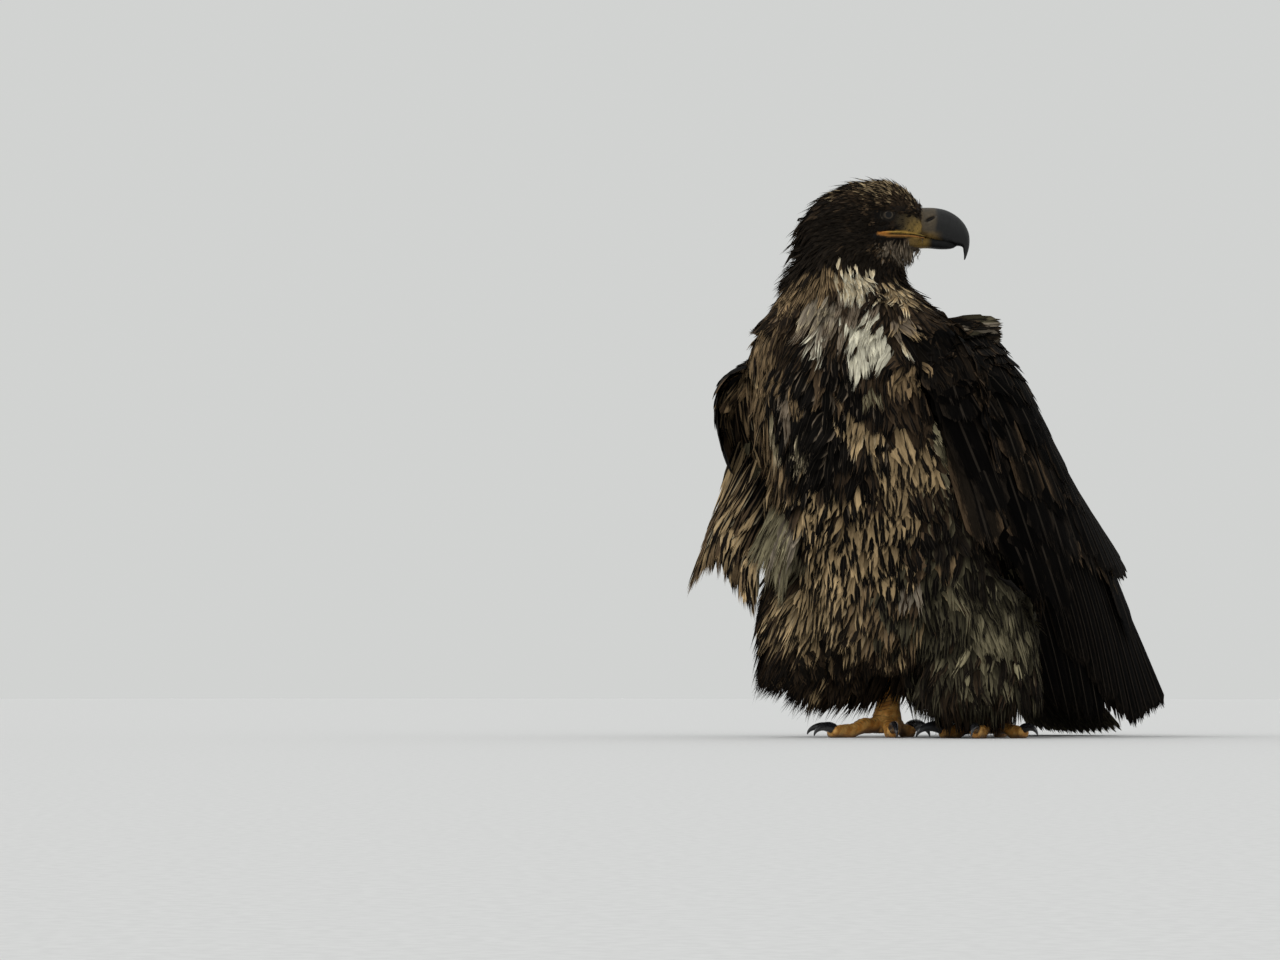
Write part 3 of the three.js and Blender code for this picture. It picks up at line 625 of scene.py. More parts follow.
for side in sideSign:
    out = sideSign[side]
    windy = -0.6 * windSide if side == "right" else 0.1 * windSide
    for angle in (-90, 0, 90, 180):
        lie.append((onThigh(side, angle, 120), down + windy, 5.6, 44, 8.5, 9.0, 0.8))
        lie.append((onThigh(side, angle, 60), down + windy * 0.8, 5.2, 42, 7.0, 9.0, 1.0))
    lie += [
        (headPoint(out * 26, 18, 16), headWay(0, -1, 0.12), 2.0, 18, 2.6, 4.4, 0.5),
        (headPoint(out * 28, 33, 7), headWay(0, -1, 0.22), 1.3, 12, 1.9, 2.6, 0.5),
        (headPoint(out * 24, 44, 4), headWay(0, -1, 0.28), 1.2, 10, 1.7, 2.4, 0.5),
        (headPoint(out * 38, -10, -8), headWay(0, -1, -0.25), 2.2, 19, 2.6, 4.0, 0.5),
        (headPoint(out * 34, 8, -20), headWay(0, -1, -0.35), 1.6, 13, 2.1, 2.4, 0.5),
        (headPoint(out * 31, 15, -4), headWay(0, -1, -0.1), 1.3, 9, 1.8, 1.8, 0.5),
        (headPoint(out * 29, 27, -13), headWay(0, -1, -0.2), 1.15, 7, 1.4, 1.1, 0.5),
        (headPoint(out * 24, 26, -32), headWay(0, -0.8, -0.6), 1.8, 13, 1.9, 2.6, 0.5),
        (headPoint(out * 13, 46, -33), headWay(0, 0.2, -1), 1.7, 15, 1.0, 3.0, 0.5),
    ]
    for p, q in ((0.0, 0.05), (0.5, 0.05), (1.0, 0.05), (0.0, 0.25), (1.0, 0.25), (0.0, 0.4)):
        way = wingPoint(side, p, q + 0.05) - wingPoint(side, p, max(0, q - 0.05))
        lie.append((wingPoint(side, p, q), unit(way), 5.2, 28, 10.0, 3.4, 0.2))
liePlaces = np.array([row[0] for row in lie])
lieWays = unit(np.array([row[1] for row in lie], float))
lieSizes = np.array([row[2:] for row in lie], float)


def lieAt(points):
    # way the feathers point, and spacing, length, width, lift and softness, blended between those places
    d2 = ((points[:, None] - liePlaces[None]) ** 2).sum(2)
    weights = 1 / (d2 + 60) ** 2
    weights /= weights.sum(1, keepdims=True)
    return weights @ lieWays, weights @ lieSizes


def onTangent(ways, normals):
    flat = ways - normals * (ways * normals).sum(1, keepdims=True)
    return unit(flat)


# bare face
eye = {"across": 24.5, "forward": 26, "up": -3.5, "radius": 9.2, "wide": 5.4, "upper": 3.3, "lower": 4.2}
mouth = {
    # forward places, and the heights of the upper and the lower lip there
    "forward": [15, 18.7, 27.6, 36.8, 41.5, 50.8, 55.4, 62.2],
    "upper": [-21.2, -20.8, -19.6, -19.0, -18.9, -19.6, -20.4, -22.2],
    "lower": [-21.8, -22.2, -22.9, -22.5, -22.2, -22.0, -22.4, -23.3],
    "radius": (0.95, 0.95),
}


def eyePlace(side):
    # the middle of an eyeball and the way it looks
    out = sideSign[side]
    return headPoint(out * eye["across"], eye["forward"], eye["up"]), unit(headWay(out, 0.22, -0.05))


def lipHeight(name, forward):
    return np.interp(forward, mouth["forward"], mouth[name])


def bareShare(points):
    # 1 on the bare skin of the lores, round the eye and along the mouth, 0 under feathers
    across, forward, up = inHead(points)
    lores = 1 - ((forward - 47) / 13.5) ** 2 - ((up + 10.5 + (forward - 46) * 0.18) / 9.5) ** 2
    ring = 1 - ((forward - eye["forward"] - 0.6) / 6.6) ** 2 - ((up - eye["up"] + 0.3) / 4.8) ** 2
    middle = (lipHeight("upper", forward) + lipHeight("lower", forward)) / 2
    gape = (lipHeight("upper", forward) - lipHeight("lower", forward)) / 2 + 1.5
    strip = np.minimum((gape - np.abs(up - middle)) / 2, (forward - 17) * 0.35)
    under = 1 - ((forward - 58) / 16) ** 2 - ((up + 27) / 4.5) ** 2
    front = (forward - 60) * 0.3
    bare = np.maximum.reduce([lores * 2.0, ring * 3, strip, front, under * 2])
    near = (np.abs(across) > 6) & (forward > 8) & (forward < 80) & (up > -40)
    return np.where(near, ease(bare + 0.35), 0)


def faceColour(points):
    _, forward, up = inHead(points)
    n = len(points)
    colour = np.tile(np.array([0.030, 0.023, 0.014]), (n, 1))

    def lay(share, tint):
        colour[:] = mix(colour, tint, np.clip(share, 0, 1)[:, None])

    lay(ease((forward - 34) / 12), (0.085, 0.060, 0.026))
    lay(ease((forward - 40) / 16) * ease((-up - 1) / 14), (0.33, 0.215, 0.060))
    lay(ease((forward - 48) / 10) * ease((up + 10) / 8), (0.075, 0.058, 0.034))
    lay(ease(ripple(points, 4.5, 61) * 1.6) * 0.55 * ease((forward - 32) / 8), (0.050, 0.037, 0.018))
    upper, lower = lipHeight("upper", forward), lipHeight("lower", forward)
    below = ease((lower - up - 1.0) / 2)
    lay(below * ease((50 - forward) / 8), (0.115, 0.078, 0.056))
    lay(below * ease((forward - 44) / 8), (0.18, 0.112, 0.034))
    between = ease((upper - up + 0.3) / 0.5) * ease((up - lower + 0.2) / 0.5)
    lay(between * ease((34 - forward) / 9), (0.50, 0.19, 0.042))
    onLips = np.maximum(1 - np.abs(up - upper) / 1.4, 1 - np.abs(up - lower) / 1.1)
    onLips = ease(onLips * 2.2) * ease((forward - 15) / 4)
    lay(onLips, (0.46, 0.285, 0.062))
    lay(onLips * ease((34 - forward) / 14), (0.60, 0.23, 0.045))
    lay(onLips * ease((forward - 48) / 12), (0.24, 0.165, 0.045))
    lay(onLips * ease((lower + 0.9 - up) / 0.8), (0.38, 0.17, 0.045))
    slot = 1 - np.abs(up - (upper + lower) / 2) / 0.75
    lay(ease(slot * 3) * ease((forward - 26) / 5), (0.030, 0.016, 0.008))
    # dark skin round the eye, darkened further as painted shade under the brow
    far = np.hypot((forward - eye["forward"]) / 7.2, (up - eye["up"]) / 5.4)
    lay(ease((1.5 - far) * 2.5), (0.013, 0.0105, 0.008))
    rear = ease((eye["forward"] - 2.5 - forward) / 2.5) * ease((1.12 - far) * 5) * ease((far - 0.72) * 8)
    lay(rear * 0.9, (0.115, 0.100, 0.074))
    return colour


# skin
skinShape = {
    "voxel": 3.4,            # millimetres, finer by the zoom round the head
    "grow": 0.45,            # closes the clearance between the solids
    "zoom": 2.5, "zoomInner": 75, "zoomOuter": 420,
    "rounds": 6,
    "cover": 0.76,           # share of the coat's lift that the skin lies inside the solids
    "bareCover": 0.5,
    "browCover": 0.2,        # the thin ridge over the eye keeps most of its height
}
skinNodes = ["head", "neck", "trunk", "thigh_left", "thigh_right", "wing_left", "wing_right"]


def nodeShell(name):
    bm = bmesh.new()
    bm.from_mesh(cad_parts[name].data)
    bmesh.ops.remove_doubles(bm, verts=bm.verts, dist=1e-5)
    bm.normal_update()
    for v in bm.verts:
        v.co += v.normal * skinShape["grow"] * 0.001
    bmesh.ops.subdivide_edges(bm, edges=bm.edges[:], cuts=3, use_grid_fill=True)
    points = (np.array([v.co[:] for v in bm.verts]) - origin) * 1000
    bm.verts.index_update()
    faces = [tuple(v.index for v in face.verts) for face in bm.faces]
    bm.free()
    return points, faces


def slabShell(top, bottom):
    # a closed plate between two grids of points
    rows, columns = top.shape[:2]
    points = np.concatenate([top.reshape(-1, 3), bottom.reshape(-1, 3)])
    under = rows * columns
    faces = []
    for a, b, c, d in gridFaces(rows, columns, wrap=False):
        faces += [(a, b, c, d), (d + under, c + under, b + under, a + under)]
    rim = [(0, j) for j in range(columns)] + [(i, columns - 1) for i in range(1, rows)]
    rim += [(rows - 1, j) for j in range(columns - 2, -1, -1)] + [(i, 0) for i in range(rows - 2, 0, -1)]
    rim = [i * columns + j for i, j in rim]
    for k, a in enumerate(rim):
        b = rim[(k + 1) % len(rim)]
        faces.append((b, a, a + under, b + under))
    return points, faces


def tubeShell(places, radii, sides=14):
    # a closed round tube through places
    places = np.array(places, float)
    ways = unit(np.gradient(places, axis=0))
    rings = []
    for place, way, radius in zip(places, ways, radii):
        a = unit(np.cross(way, [0.1, 0.2, 1.0]))
        b = np.cross(way, a)
        turns = around(sides)
        rings.append(place + radius * (np.cos(turns)[:, None] * a + np.sin(turns)[:, None] * b))
    points = np.concatenate([np.concatenate(rings), places[:1], places[-1:]])
    return points, tubeFaces(len(places), sides)


armEnd = 0.41          # the arm reaches this far down the wing


def armDepth(p, q):
    t = min(1, q / armEnd)
    thick = mix(36, 10, ease(t)) * mix(0.55, 1, ease(t * 5))
    return thick * math.sqrt(max(0.0, math.sin(math.pi * p))) * mix(1, 0.6, p)


def armShells(side):
    # the arm under the coverts, and the shoulder that ties it to the body
    def face(ps, qs, out):
        return np.array([[wingAt(side, p, q, out(p, q)) for q in qs] for p in ps])
    ps, qs = np.linspace(0.02, 0.98, 11), np.linspace(0.0, armEnd, 8)
    arm = slabShell(face(ps, qs, lambda p, q: 0), face(ps, qs, lambda p, q: -4 - armDepth(p, q)))
    ps, qs = np.linspace(0.2, 0.8, 5), np.linspace(0.03, 0.22, 4)
    shoulder = slabShell(face(ps, qs, lambda p, q: -2 - 0.6 * armDepth(p, q)),
                         face(ps, qs, lambda p, q: -30 - armDepth(p, q)))
    return [arm, shoulder]


def browShell(side):
    # the bony ridge that hangs over the eye
    out = sideSign[side]
    line = through([[10, 6.0, -1.6, 2.2], [18, 5.4, 0.2, 3.3], [27, 4.6, 1.4, 3.8], [36, 4.7, 1.3, 3.6],
                    [46, 4.2, 0.5, 3.1], [57, 2.6, -0.6, 2.0]])
    places, radii = [], []
    for forward in np.linspace(10, 57, 22):
        up, proud, radius = line(forward)
        places.append(headPoint(out * (skullSide(forward, up) + proud), forward, up))
        radii.append(radius)
    return tubeShell(places, radii)


def socketShell(side):
    # fills the hollow round the eye up to the lids
    centre, axis = eyePlace(side)
    return tubeShell([centre + axis * h for h in (-3, 3, 6.8, 8.1)], [10.5, 10.5, 9.6, 5.5], 24)


def zoomed(points, back=False):
    # the space round the head opened up, so that one voxel size gives the face more detail
    inner, outer = skinShape["zoomInner"], skinShape["zoomOuter"]
    near = [0, inner, outer, 4000]
    far = [0, inner * skinShape["zoom"], outer, 4000]
    d = points - bird["headPlace"]
    r = np.maximum(np.linalg.norm(d, axis=1), 1e-6)
    r2 = np.interp(r, far, near) if back else np.interp(r, near, far)
    return bird["headPlace"] + d * (r2 / r)[:, None]


def merged(shells):
    points, faces, start = [], [], 0
    for shellPoints, shellFaces in shells:
        points.append(shellPoints)
        faces += [tuple(v + start for v in face) for face in shellFaces]
        start += len(shellPoints)
    return np.concatenate(points), faces


def remeshed(points, faces, voxel):
    mesh = bpy.data.meshes.new("raw")
    mesh.from_pydata(points.tolist(), [], faces)
    raw = bpy.data.objects.new("raw", mesh)
    bpy.context.scene.collection.objects.link(raw)
    change = raw.modifiers.new("remesh", "REMESH")
    change.mode = "VOXEL"
    change.voxel_size = voxel
    done = raw.evaluated_get(bpy.context.evaluated_depsgraph_get()).to_mesh()
    n = len(done.vertices)
    flat = np.empty(n * 3)
    done.vertices.foreach_get("co", flat)
    loops = np.empty(len(done.loops), np.int64)
    done.loops.foreach_get("vertex_index", loops)
    sizes = np.empty(len(done.polygons), np.int64)
    done.polygons.foreach_get("loop_total", sizes)
    pairs = np.empty(len(done.edges) * 2, np.int64)
    done.edges.foreach_get("vertices", pairs)
    bpy.data.objects.remove(raw)
    bpy.data.meshes.remove(mesh)
    return flat.reshape(-1, 3), loops, sizes, pairs.reshape(-1, 2)


def relaxed(points, pairs, rounds, amount):
    # each point moves towards its neighbours' middle
    n = len(points)
    count = np.maximum(np.bincount(pairs.ravel(), minlength=n), 1)
    amount = np.broadcast_to(amount, n)[:, None]
    a, b = pairs[:, 0], pairs[:, 1]
    for _ in range(rounds):
        total = np.stack([np.bincount(a, points[b, k], n) + np.bincount(b, points[a, k], n)
                          for k in range(3)], 1)
        points = points + (total / count[:, None] - points) * amount
    return points


def trianglesOf(sizes):
    # the corners of each face as a fan of triangles
    starts = np.concatenate([[0], np.cumsum(sizes)[:-1]])
    corners = []
    for size in np.unique(sizes):
        at = starts[sizes == size]
        for k in range(1, size - 1):
            corners.append(np.stack([at, at + k, at + k + 1], 1))
    return np.concatenate(corners)


def pointNormals(points, tris):
    cross = np.cross(points[tris[:, 1]] - points[tris[:, 0]], points[tris[:, 2]] - points[tris[:, 0]])
    total = np.zeros_like(points)
    for k in range(3):
        for axis in range(3):
            total[:, axis] += np.bincount(tris[:, k], cross[:, axis], len(points))
    return unit(total)


lid = {
    "power": 1.8,           # how square the opening between the lids is
    "over": 9.9,            # radius of the lids' inner edge from the middle of the ball
    "edge": 0.77,           # angle out to which the fleshy ring reaches
    "count": 64,
}


def lidShell(side):
    # the lids and the fleshy ring round one eye, a closed band on the ball
    centre, axis = eyePlace(side)
    ahead = unit(headWay(0, 1, 0.06) - axis * np.dot(axis, headWay(0, 1, 0.06)))
    top = unit(headWay(0, 0, 1) - axis * axis[2])
    top = unit(top - ahead * np.dot(top, ahead))
    rings = []
    power, edge = lid["power"], lid["edge"]
    for turn in around(lid["count"]):
        x, y = math.cos(turn), math.sin(turn)
        tall = eye["upper"] if y > 0 else eye["lower"]
        reach = 1 / ((abs(x) / eye["wide"]) ** power + (abs(y) / tall) ** power) ** (1 / power)
        a0 = math.asin(reach / lid["over"])
        section = [(a0 + 0.12, 9.2), (a0 + 0.03, 9.25), (a0, 9.55), (a0 + 0.02, 9.85), (a0 + 0.05, 10.0),
                   (mix(a0, edge, 0.4), 9.9), (mix(a0, edge, 0.7), 10.0), (mix(a0, edge, 0.92), 9.85),
                   (edge + 0.06, 9.3), (edge + 0.12, 8.4), (edge + 0.05, 7.8), (edge - 0.05, 8.2),
                   (mix(a0, edge, 0.6), 8.9)]
        fold = 0.12 * math.sin(turn * 2 + 0.6) + 0.1 * math.sin(turn * 9)
        rings.append([
            centre + (r + fold * (4 < k < 8)) * (math.cos(a) * axis + math.sin(a) * (x * ahead + y * top))
            for k, (a, r) in enumerate(section)
        ])
    points = np.array(rings).reshape(-1, 3)
    faces = gridFaces(lid["count"] + 1, len(rings[0]))
    faces = [tuple(v % len(points) for v in face) for face in faces]
    if side == "left":
        faces = [face[::-1] for face in faces]
    return points, faces


def lipShells(side):
    # the fleshy gape, an upper and a lower lip
    shells = []
    for name, thick in zip(("upper", "lower"), mouth["radius"]):
        places, radii = [], []
        for forward in np.linspace(16, 61, 30):
            t = (forward - 16) / 45
            up = float(lipHeight(name, forward))
            across = skullSide(min(forward, 58), up) + 0.2 - 1.4 * ease((0.14 - t) * 7)
            places.append(headPoint(sideSign[side] * across, forward, up))
            radii.append(thick * mix(0.5, 1, ease(t * 5)) * mix(1, 0.6, t))
        shells.append(tubeShell(places, radii, 10))
    return shells


shells = [nodeShell(name) for name in skinNodes[:5]]
for side in sideSign:
    shells += armShells(side) + [browShell(side), socketShell(side)]
rawPoints, rawFaces = merged(shells)
skinPoints, skinLoops, skinSizes, skinPairs = remeshed(zoomed(rawPoints), rawFaces, skinShape["voxel"])
skinPoints = zoomed(skinPoints, back=True)
bare = bareShare(skinPoints)
headShare = headNear(skinPoints, 150, 70)
skinPoints = relaxed(skinPoints, skinPairs, skinShape["rounds"], mix(0.7, 0.3, headShare))
skinTris = skinLoops[trianglesOf(skinSizes)]
normals = pointNormals(skinPoints, skinTris)
inset = lieAt(skinPoints)[1][:, 3] * skinShape["cover"]
across, forward, up = inHead(skinPoints)
brow = ease((abs(across) - 13) / 5) * ease((forward - 4) / 8) * ease((64 - forward) / 8)
brow = brow * ease((up + 4) / 3) * ease((14 - up) / 5)
inset = mix(inset * mix(1, skinShape["browCover"], brow), skinShape["bareCover"], bare)
skinPoints = relaxed(skinPoints - normals * inset[:, None], skinPairs, 4, mix(0.6, 0.25, headShare))
skinNormals = pointNormals(skinPoints, skinTris)
skinTree = BVHTree.FromPolygons(skinPoints.tolist(), skinTris.tolist())
print("skin shaped,", len(skinTris), "triangles")

extras = [shell for side in sideSign for shell in [lidShell(side)] + lipShells(side)]
extraPoints, extraFaces = merged(extras)
allPoints = np.concatenate([skinPoints, extraPoints])
allLoops = np.concatenate([skinLoops, [v + len(skinPoints) for face in extraFaces for v in face]])
allSizes = np.concatenate([skinSizes, [len(face) for face in extraFaces]])
skinMesh = meshFrom("skin", allPoints, allLoops.astype(int), allSizes.astype(int))
underTones = tonesAt(allPoints, 0.02)
paleShare = ease((underTones["tint"].mean(1) - 0.12) / 0.25)
# painted shade: the skin under the coat takes the local feather colour darkened, so the gaps between
# feathers look deep; less darkened under pale down
shadedUnderCoat = underTones["tint"] * (mix(0.5, 0.85, paleShare) * (1 + 0.2 * ripple(allPoints, 9, 8)))[:, None]
bareAll = np.concatenate([bareShare(skinPoints), np.ones(len(extraPoints))])[:, None]
skinTint = mix(shadedUnderCoat, faceColour(allPoints), bareAll)
setTints(skinMesh, skinTint)
skin = addPiece("skin", skinMesh, skinFinish, skinNodes)

# the skin's own unwrap, which also places each feather's patch
bpy.context.view_layer.objects.active = skin
skin.select_set(True)
skinMesh.uv_layers.new(name="OFBake")
bpy.ops.object.mode_set(mode="EDIT")
bpy.ops.mesh.select_all(action="SELECT")
bpy.ops.uv.smart_project(angle_limit=math.radians(66), island_margin=0.002)
bpy.ops.object.mode_set(mode="OBJECT")
skin.select_set(False)
flatUv = np.empty(len(allLoops) * 2, np.float32)
skinMesh.uv_layers["OFBake"].data.foreach_get("uv", flatUv)
triCorners = trianglesOf(skinSizes)
triUv = flatUv.reshape(-1, 2)[triCorners]
print("skin unwrapped")


def skinShares(hits, tris):
    # where each hit lies inside its triangle, as three shares
    a, b, c = (skinPoints[skinTris[tris, k]] for k in range(3))
    v0, v1, v2 = b - a, c - a, hits - a
    d00, d01, d11 = (v0 * v0).sum(1), (v0 * v1).sum(1), (v1 * v1).sum(1)
    d20, d21 = (v2 * v0).sum(1), (v2 * v1).sum(1)
    den = np.maximum(d00 * d11 - d01 * d01, 1e-9)
    v = (d11 * d20 - d01 * d21) / den
    w = (d00 * d21 - d01 * d20) / den
    shares = np.clip(np.stack([1 - v - w, v, w], 1), 0, 1)
    return shares / shares.sum(1, keepdims=True)


def nearestSkin(points):
    # nearest place on the skin, its normal, its place on the unwrap
    hits = np.empty((len(points), 3))
    tris = np.empty(len(points), int)
    for k, point in enumerate(points.tolist()):
        place, _, index, _ = skinTree.find_nearest(point)
        hits[k] = place
        tris[k] = index
    shares = skinShares(hits, tris)
    normal = unit((skinNormals[skinTris[tris]] * shares[:, :, None]).sum(1))
    patch = (triUv[tris] * shares[:, :, None]).sum(1)
    return hits, normal, patch


# one feather's shape
gather = 0.4          # how far the fingers of a vane draw together


def vaneShape(fingers, rows, body, seed, base, fray, blunt):
    # a closed thin vane that splits into fingers past body; t runs along, s across, h up
    pick = random.Random(seed)
    t, s, h, faces = [], [], [], []
    top = fingers + 1
    ring = top + 1
    for k in range(rows):
        x = body * k / (rows - 1)
        w = base + (1 - base) * math.sin(math.pi / 2 * min(1, x / (body * 0.62)))
        for j in range(top):
            t.append(x)
            s.append((2 * j / fingers - 1) * w)
            h.append(0.0)
        t.append(x)
        s.append(0.0)
        h.append(-1.0)
    faces.append(tuple(range(ring)))
    for k in range(rows - 1):
        for j in range(ring):
            a, b = k * ring + j, k * ring + (j + 1) % ring
            faces.append((a, a + ring, b + ring, b))
    last = (rows - 1) * ring
    tips = max(1, round(fingers / 3))
    points = [(2 * (k + pick.uniform(0.3, 0.7)) / tips - 1) * 0.8 for k in range(tips)]
    longer = [pick.uniform(-0.12, 0.06) for _ in points]
    for j in range(fingers):
        middle = (2 * j + 1) / fingers - 1
        k = min(range(tips), key=lambda k: abs(points[k] - middle))
        reach = 1 - abs(middle) ** blunt * 0.62 - pick.uniform(0, fray) + longer[k]
        t.append(body + (1 - body) * min(1, max(0.15, reach)))
        s.append(mix(middle, points[k], gather) * pick.uniform(0.7, 0.95))
        h.append(-0.3)
        tip = len(t) - 1
        left, right, low = last + j, last + j + 1, last + top
        faces += [(left, tip, right), (right, tip, low), (low, tip, left)]
    return {
        "t": np.array(t), "s": np.array(s), "h": np.array(h),
        "loops": np.array([v for face in faces for v in face]),
        "sizes": np.array([len(face) for face in faces]),
    }


kinds = {
    "hackle": [vaneShape(3, 4, 0.50, seed, 0.35, 0.2, 1.2) for seed in range(3)],
    "contour": [vaneShape(9, 4, 0.55, 10 + seed, 0.3, 0.25, 1.5) for seed in range(5)],
    "fluff": [vaneShape(8, 4, 0.36, 20 + seed, 0.4, 0.4, 1.2) for seed in range(5)],
    "covert": [vaneShape(8, 5, 0.80, 30 + seed, 0.3, 0.25, 2.2) for seed in range(4)],
}


def placeVanes(shape, lines, ups, widths, thick, camber, roll):
    # bends the shape along many centre lines at once
    steps = lines.shape[1]
    along = shape["t"] * (steps - 1)
    low = np.minimum(along.astype(int), steps - 2)
    part = (along - low)[None, :, None]
    ways = unit(np.gradient(lines, axis=1))
    sides = unit(np.cross(ups, ways))
    ups = np.cross(ways, sides)
    place = lines[:, low] * (1 - part) + lines[:, low + 1] * part
    side = sides[:, low] * (1 - part) + sides[:, low + 1] * part
    up = ups[:, low] * (1 - part) + ups[:, low + 1] * part
    c, s = np.cos(roll)[:, None, None], np.sin(roll)[:, None, None]
    side, up = side * c + up * s, up * c - side * s
    across = shape["s"][None, :] * widths[:, None] / 2
    high = shape["h"][None, :] * thick - camber * (shape["s"] ** 2)[None, :] * widths[:, None] / 2
    return place + side * across[..., None] + up * high[..., None]


coatValues = ("vane", "size", "mark", "tint", "streak", "tip")
patchSize = 0.003          # a feather's share of the unwrap


def newCoat():
    return {key: [] for key in ("points", "loops", "sizes", "uv") + coatValues}


def addVanes(coat, shape, points, widths, lengths, tones, patches, shaft):
    n, v = points.shape[:2]
    start = sum(len(part) for part in coat["points"])
    loops = (shape["loops"][None] + (np.arange(n) * v)[:, None]).ravel()
    coat["points"].append(points.reshape(-1, 3))
    coat["loops"].append(loops + start)
    coat["sizes"].append(np.tile(shape["sizes"], n))
    local = np.stack([shape["s"] * 0.5, shape["t"] - 0.5], 1) * patchSize
    uv = (patches[:, None] + local[None]).reshape(-1, 2)
    coat["uv"].append(uv[loops])
    seeds = draw.random(n)
    coat["vane"].append(np.stack([np.tile(shape["s"], n), np.tile(shape["t"], n), np.repeat(seeds, v)], 1))
    halves, shafts = np.repeat(widths / 2, v), np.full(n * v, shaft)
    coat["size"].append(np.stack([halves, np.repeat(lengths, v), shafts], 1))
    for key in ("tint", "streak", "tip"):
        coat[key].append(np.repeat(withAlpha(tones[key]), v, axis=0))
    coat["mark"].append(np.repeat(tones["mark"], v, axis=0))


def coatPiece(name, coat, material, replaced=()):
    points = np.concatenate(coat["points"])
    points[:, 2] = np.maximum(points[:, 2], 0.1)
    loops = np.concatenate(coat["loops"])
    sizes = np.concatenate(coat["sizes"])
    mesh = meshFrom(name, points, loops, sizes, sharp=48)
    setUv(mesh, np.concatenate(coat["uv"]))
    for key in coatValues:
        setValues(mesh, key, np.concatenate(coat[key]))
    print(name, "has", int((sizes - 2).sum()), "triangles")
    addPiece(name, mesh, material, replaced)


# feathers over the skin
coatGrowth = {
    "tries": 4.2,          # candidates for each feather wanted
    "wind": 0.5,
    "jitter": 0.13,
    "ruffled": 0.10,       # share of feathers that stand away
    "crowd": 0.86,         # spacing scale over the whole bird
    "lockGap": 3.0,        # distance between locks, in feather spacings
    "lockPull": 0.46,      # how far the tips of a lock draw together
    "hang": 0.85,          # how freely feathers hang where the body faces down
    "steps": 4,            # bends along a feather's centre line
    "wingNear": 3.0, "wingFar": 24.0,      # no feather grows where a wing lies this far over the skin
    "hackleWidth": 4.4,    # narrower feathers are hackles
    "fluffAbove": 0.72, "covertBelow": 0.28,      # softness of the loosest and the firmest feathers
}


def wingSurface(side):
    ps, qs = np.linspace(-0.02, 1.1, 24), np.linspace(0, 1, 30)
    points = [wingAt(side, p, q, 2).tolist() for p in ps for q in qs]
    return BVHTree.FromPolygons(points, gridFaces(24, 30, wrap=False))


wingTrees = {side: wingSurface(side) for side in sideSign}


def underWing(points, ways):
    # True where a wing lies over the place
    hidden = np.zeros(len(points), bool)
    for k, (point, way) in enumerate(zip(points.tolist(), ways.tolist())):
        for tree in wingTrees.values():
            hit = tree.ray_cast(point, way, coatGrowth["wingFar"])
            if hit[0] is not None and hit[3] > coatGrowth["wingNear"]:
                hidden[k] = True
    return hidden


def thinned(places, gaps):
    # keeps the places that lie at least their gap from those kept before
    kept = []
    grids = {}
    around = [(i, j, k) for i in (-1, 0, 1) for j in (-1, 0, 1) for k in (-1, 0, 1)]
    for n, ((x, y, z), gap) in enumerate(zip(places.tolist(), gaps.tolist())):
        cell = 2.0 ** math.ceil(math.log2(gap))
        grid = grids.setdefault(cell, {})
        i, j, k = int(x // cell), int(y // cell), int(z // cell)
        limit = gap * gap
        if any((px - x) ** 2 + (py - y) ** 2 + (pz - z) ** 2 < limit
               for di, dj, dk in around for px, py, pz in grid.get((i + di, j + dj, k + dk), ())):
            continue
        grid.setdefault((i, j, k), []).append((x, y, z))
        kept.append(n)
    return np.array(kept)


def scatterRoots():
    a, b, c = (skinPoints[skinTris[:, k]] for k in range(3))
    area = np.linalg.norm(np.cross(b - a, c - a), axis=1) / 2
    middle = (a + b + c) / 3
    spacing = lieAt(middle)[1][:, 0] * coatGrowth["crowd"]
    want = area / spacing ** 2
    count = int(want.sum() * coatGrowth["tries"])
    tri = draw.choice(len(skinTris), count, p=want / want.sum())
    u, v = draw.random(count), draw.random(count)
    over = u + v > 1
    u[over], v[over] = 1 - u[over], 1 - v[over]
    spots = a[tri] + (b - a)[tri] * u[:, None] + (c - a)[tri] * v[:, None]
    return spots[thinned(spots, spacing[tri])]


def combed(roots, normals, ways, lengths, lifts):
    # centre lines that follow the body from each root
    steps = coatGrowth["steps"]
    lines, ups = [roots - normals * 1.2], [normals]
    place, way, up = roots, ways, normals
    for k in range(1, steps + 1):
        stride = lengths / steps
        target = place + way * stride[:, None]
        hits, normal, _ = nearestSkin(target)
        gap = np.linalg.norm(hits - target, axis=1)
        free = ease((-normal[:, 2] - 0.05) / 0.4) * coatGrowth["hang"]
        cling = (np.clip(1.05 - gap / stride * 0.8, 0.2, 1) * (1 - free))[:, None]
        place = target + (hits - target) * cling
        up = unit(mix(up, normal, cling * 0.8))
        flow = unit(lieAt(place)[0])
        way = unit(mix(onTangent(mix(way, flow, 0.2), up), flow, free[:, None] * 0.8))
        t = k / steps
        lines.append(place + up * (lifts * t ** 0.9 - 0.6)[:, None])
        ups.append(up)
    return np.stack(lines, 1), np.stack(ups, 1)


parting = {"middle": -36, "half": 17, "height": 54}       # where the right leg shows through


def parted(lines):
    # shortens the feathers that would hang over the leg
    side = lines[:, -1] @ windSide
    over = (np.abs(side - parting["middle"]) < parting["half"]) & (lines[:, -1] @ frontWay > -10)
    over &= lines[:, -1, 2] < parting["height"]
    root, tip = lines[:, 0, 2], lines[:, -1, 2]
    share = np.where(over, np.clip((root - parting["height"]) / np.maximum(root - tip, 1), 0.22, 1), 1)
    return lines[:, :1] + (lines - lines[:, :1]) * share[:, None, None]


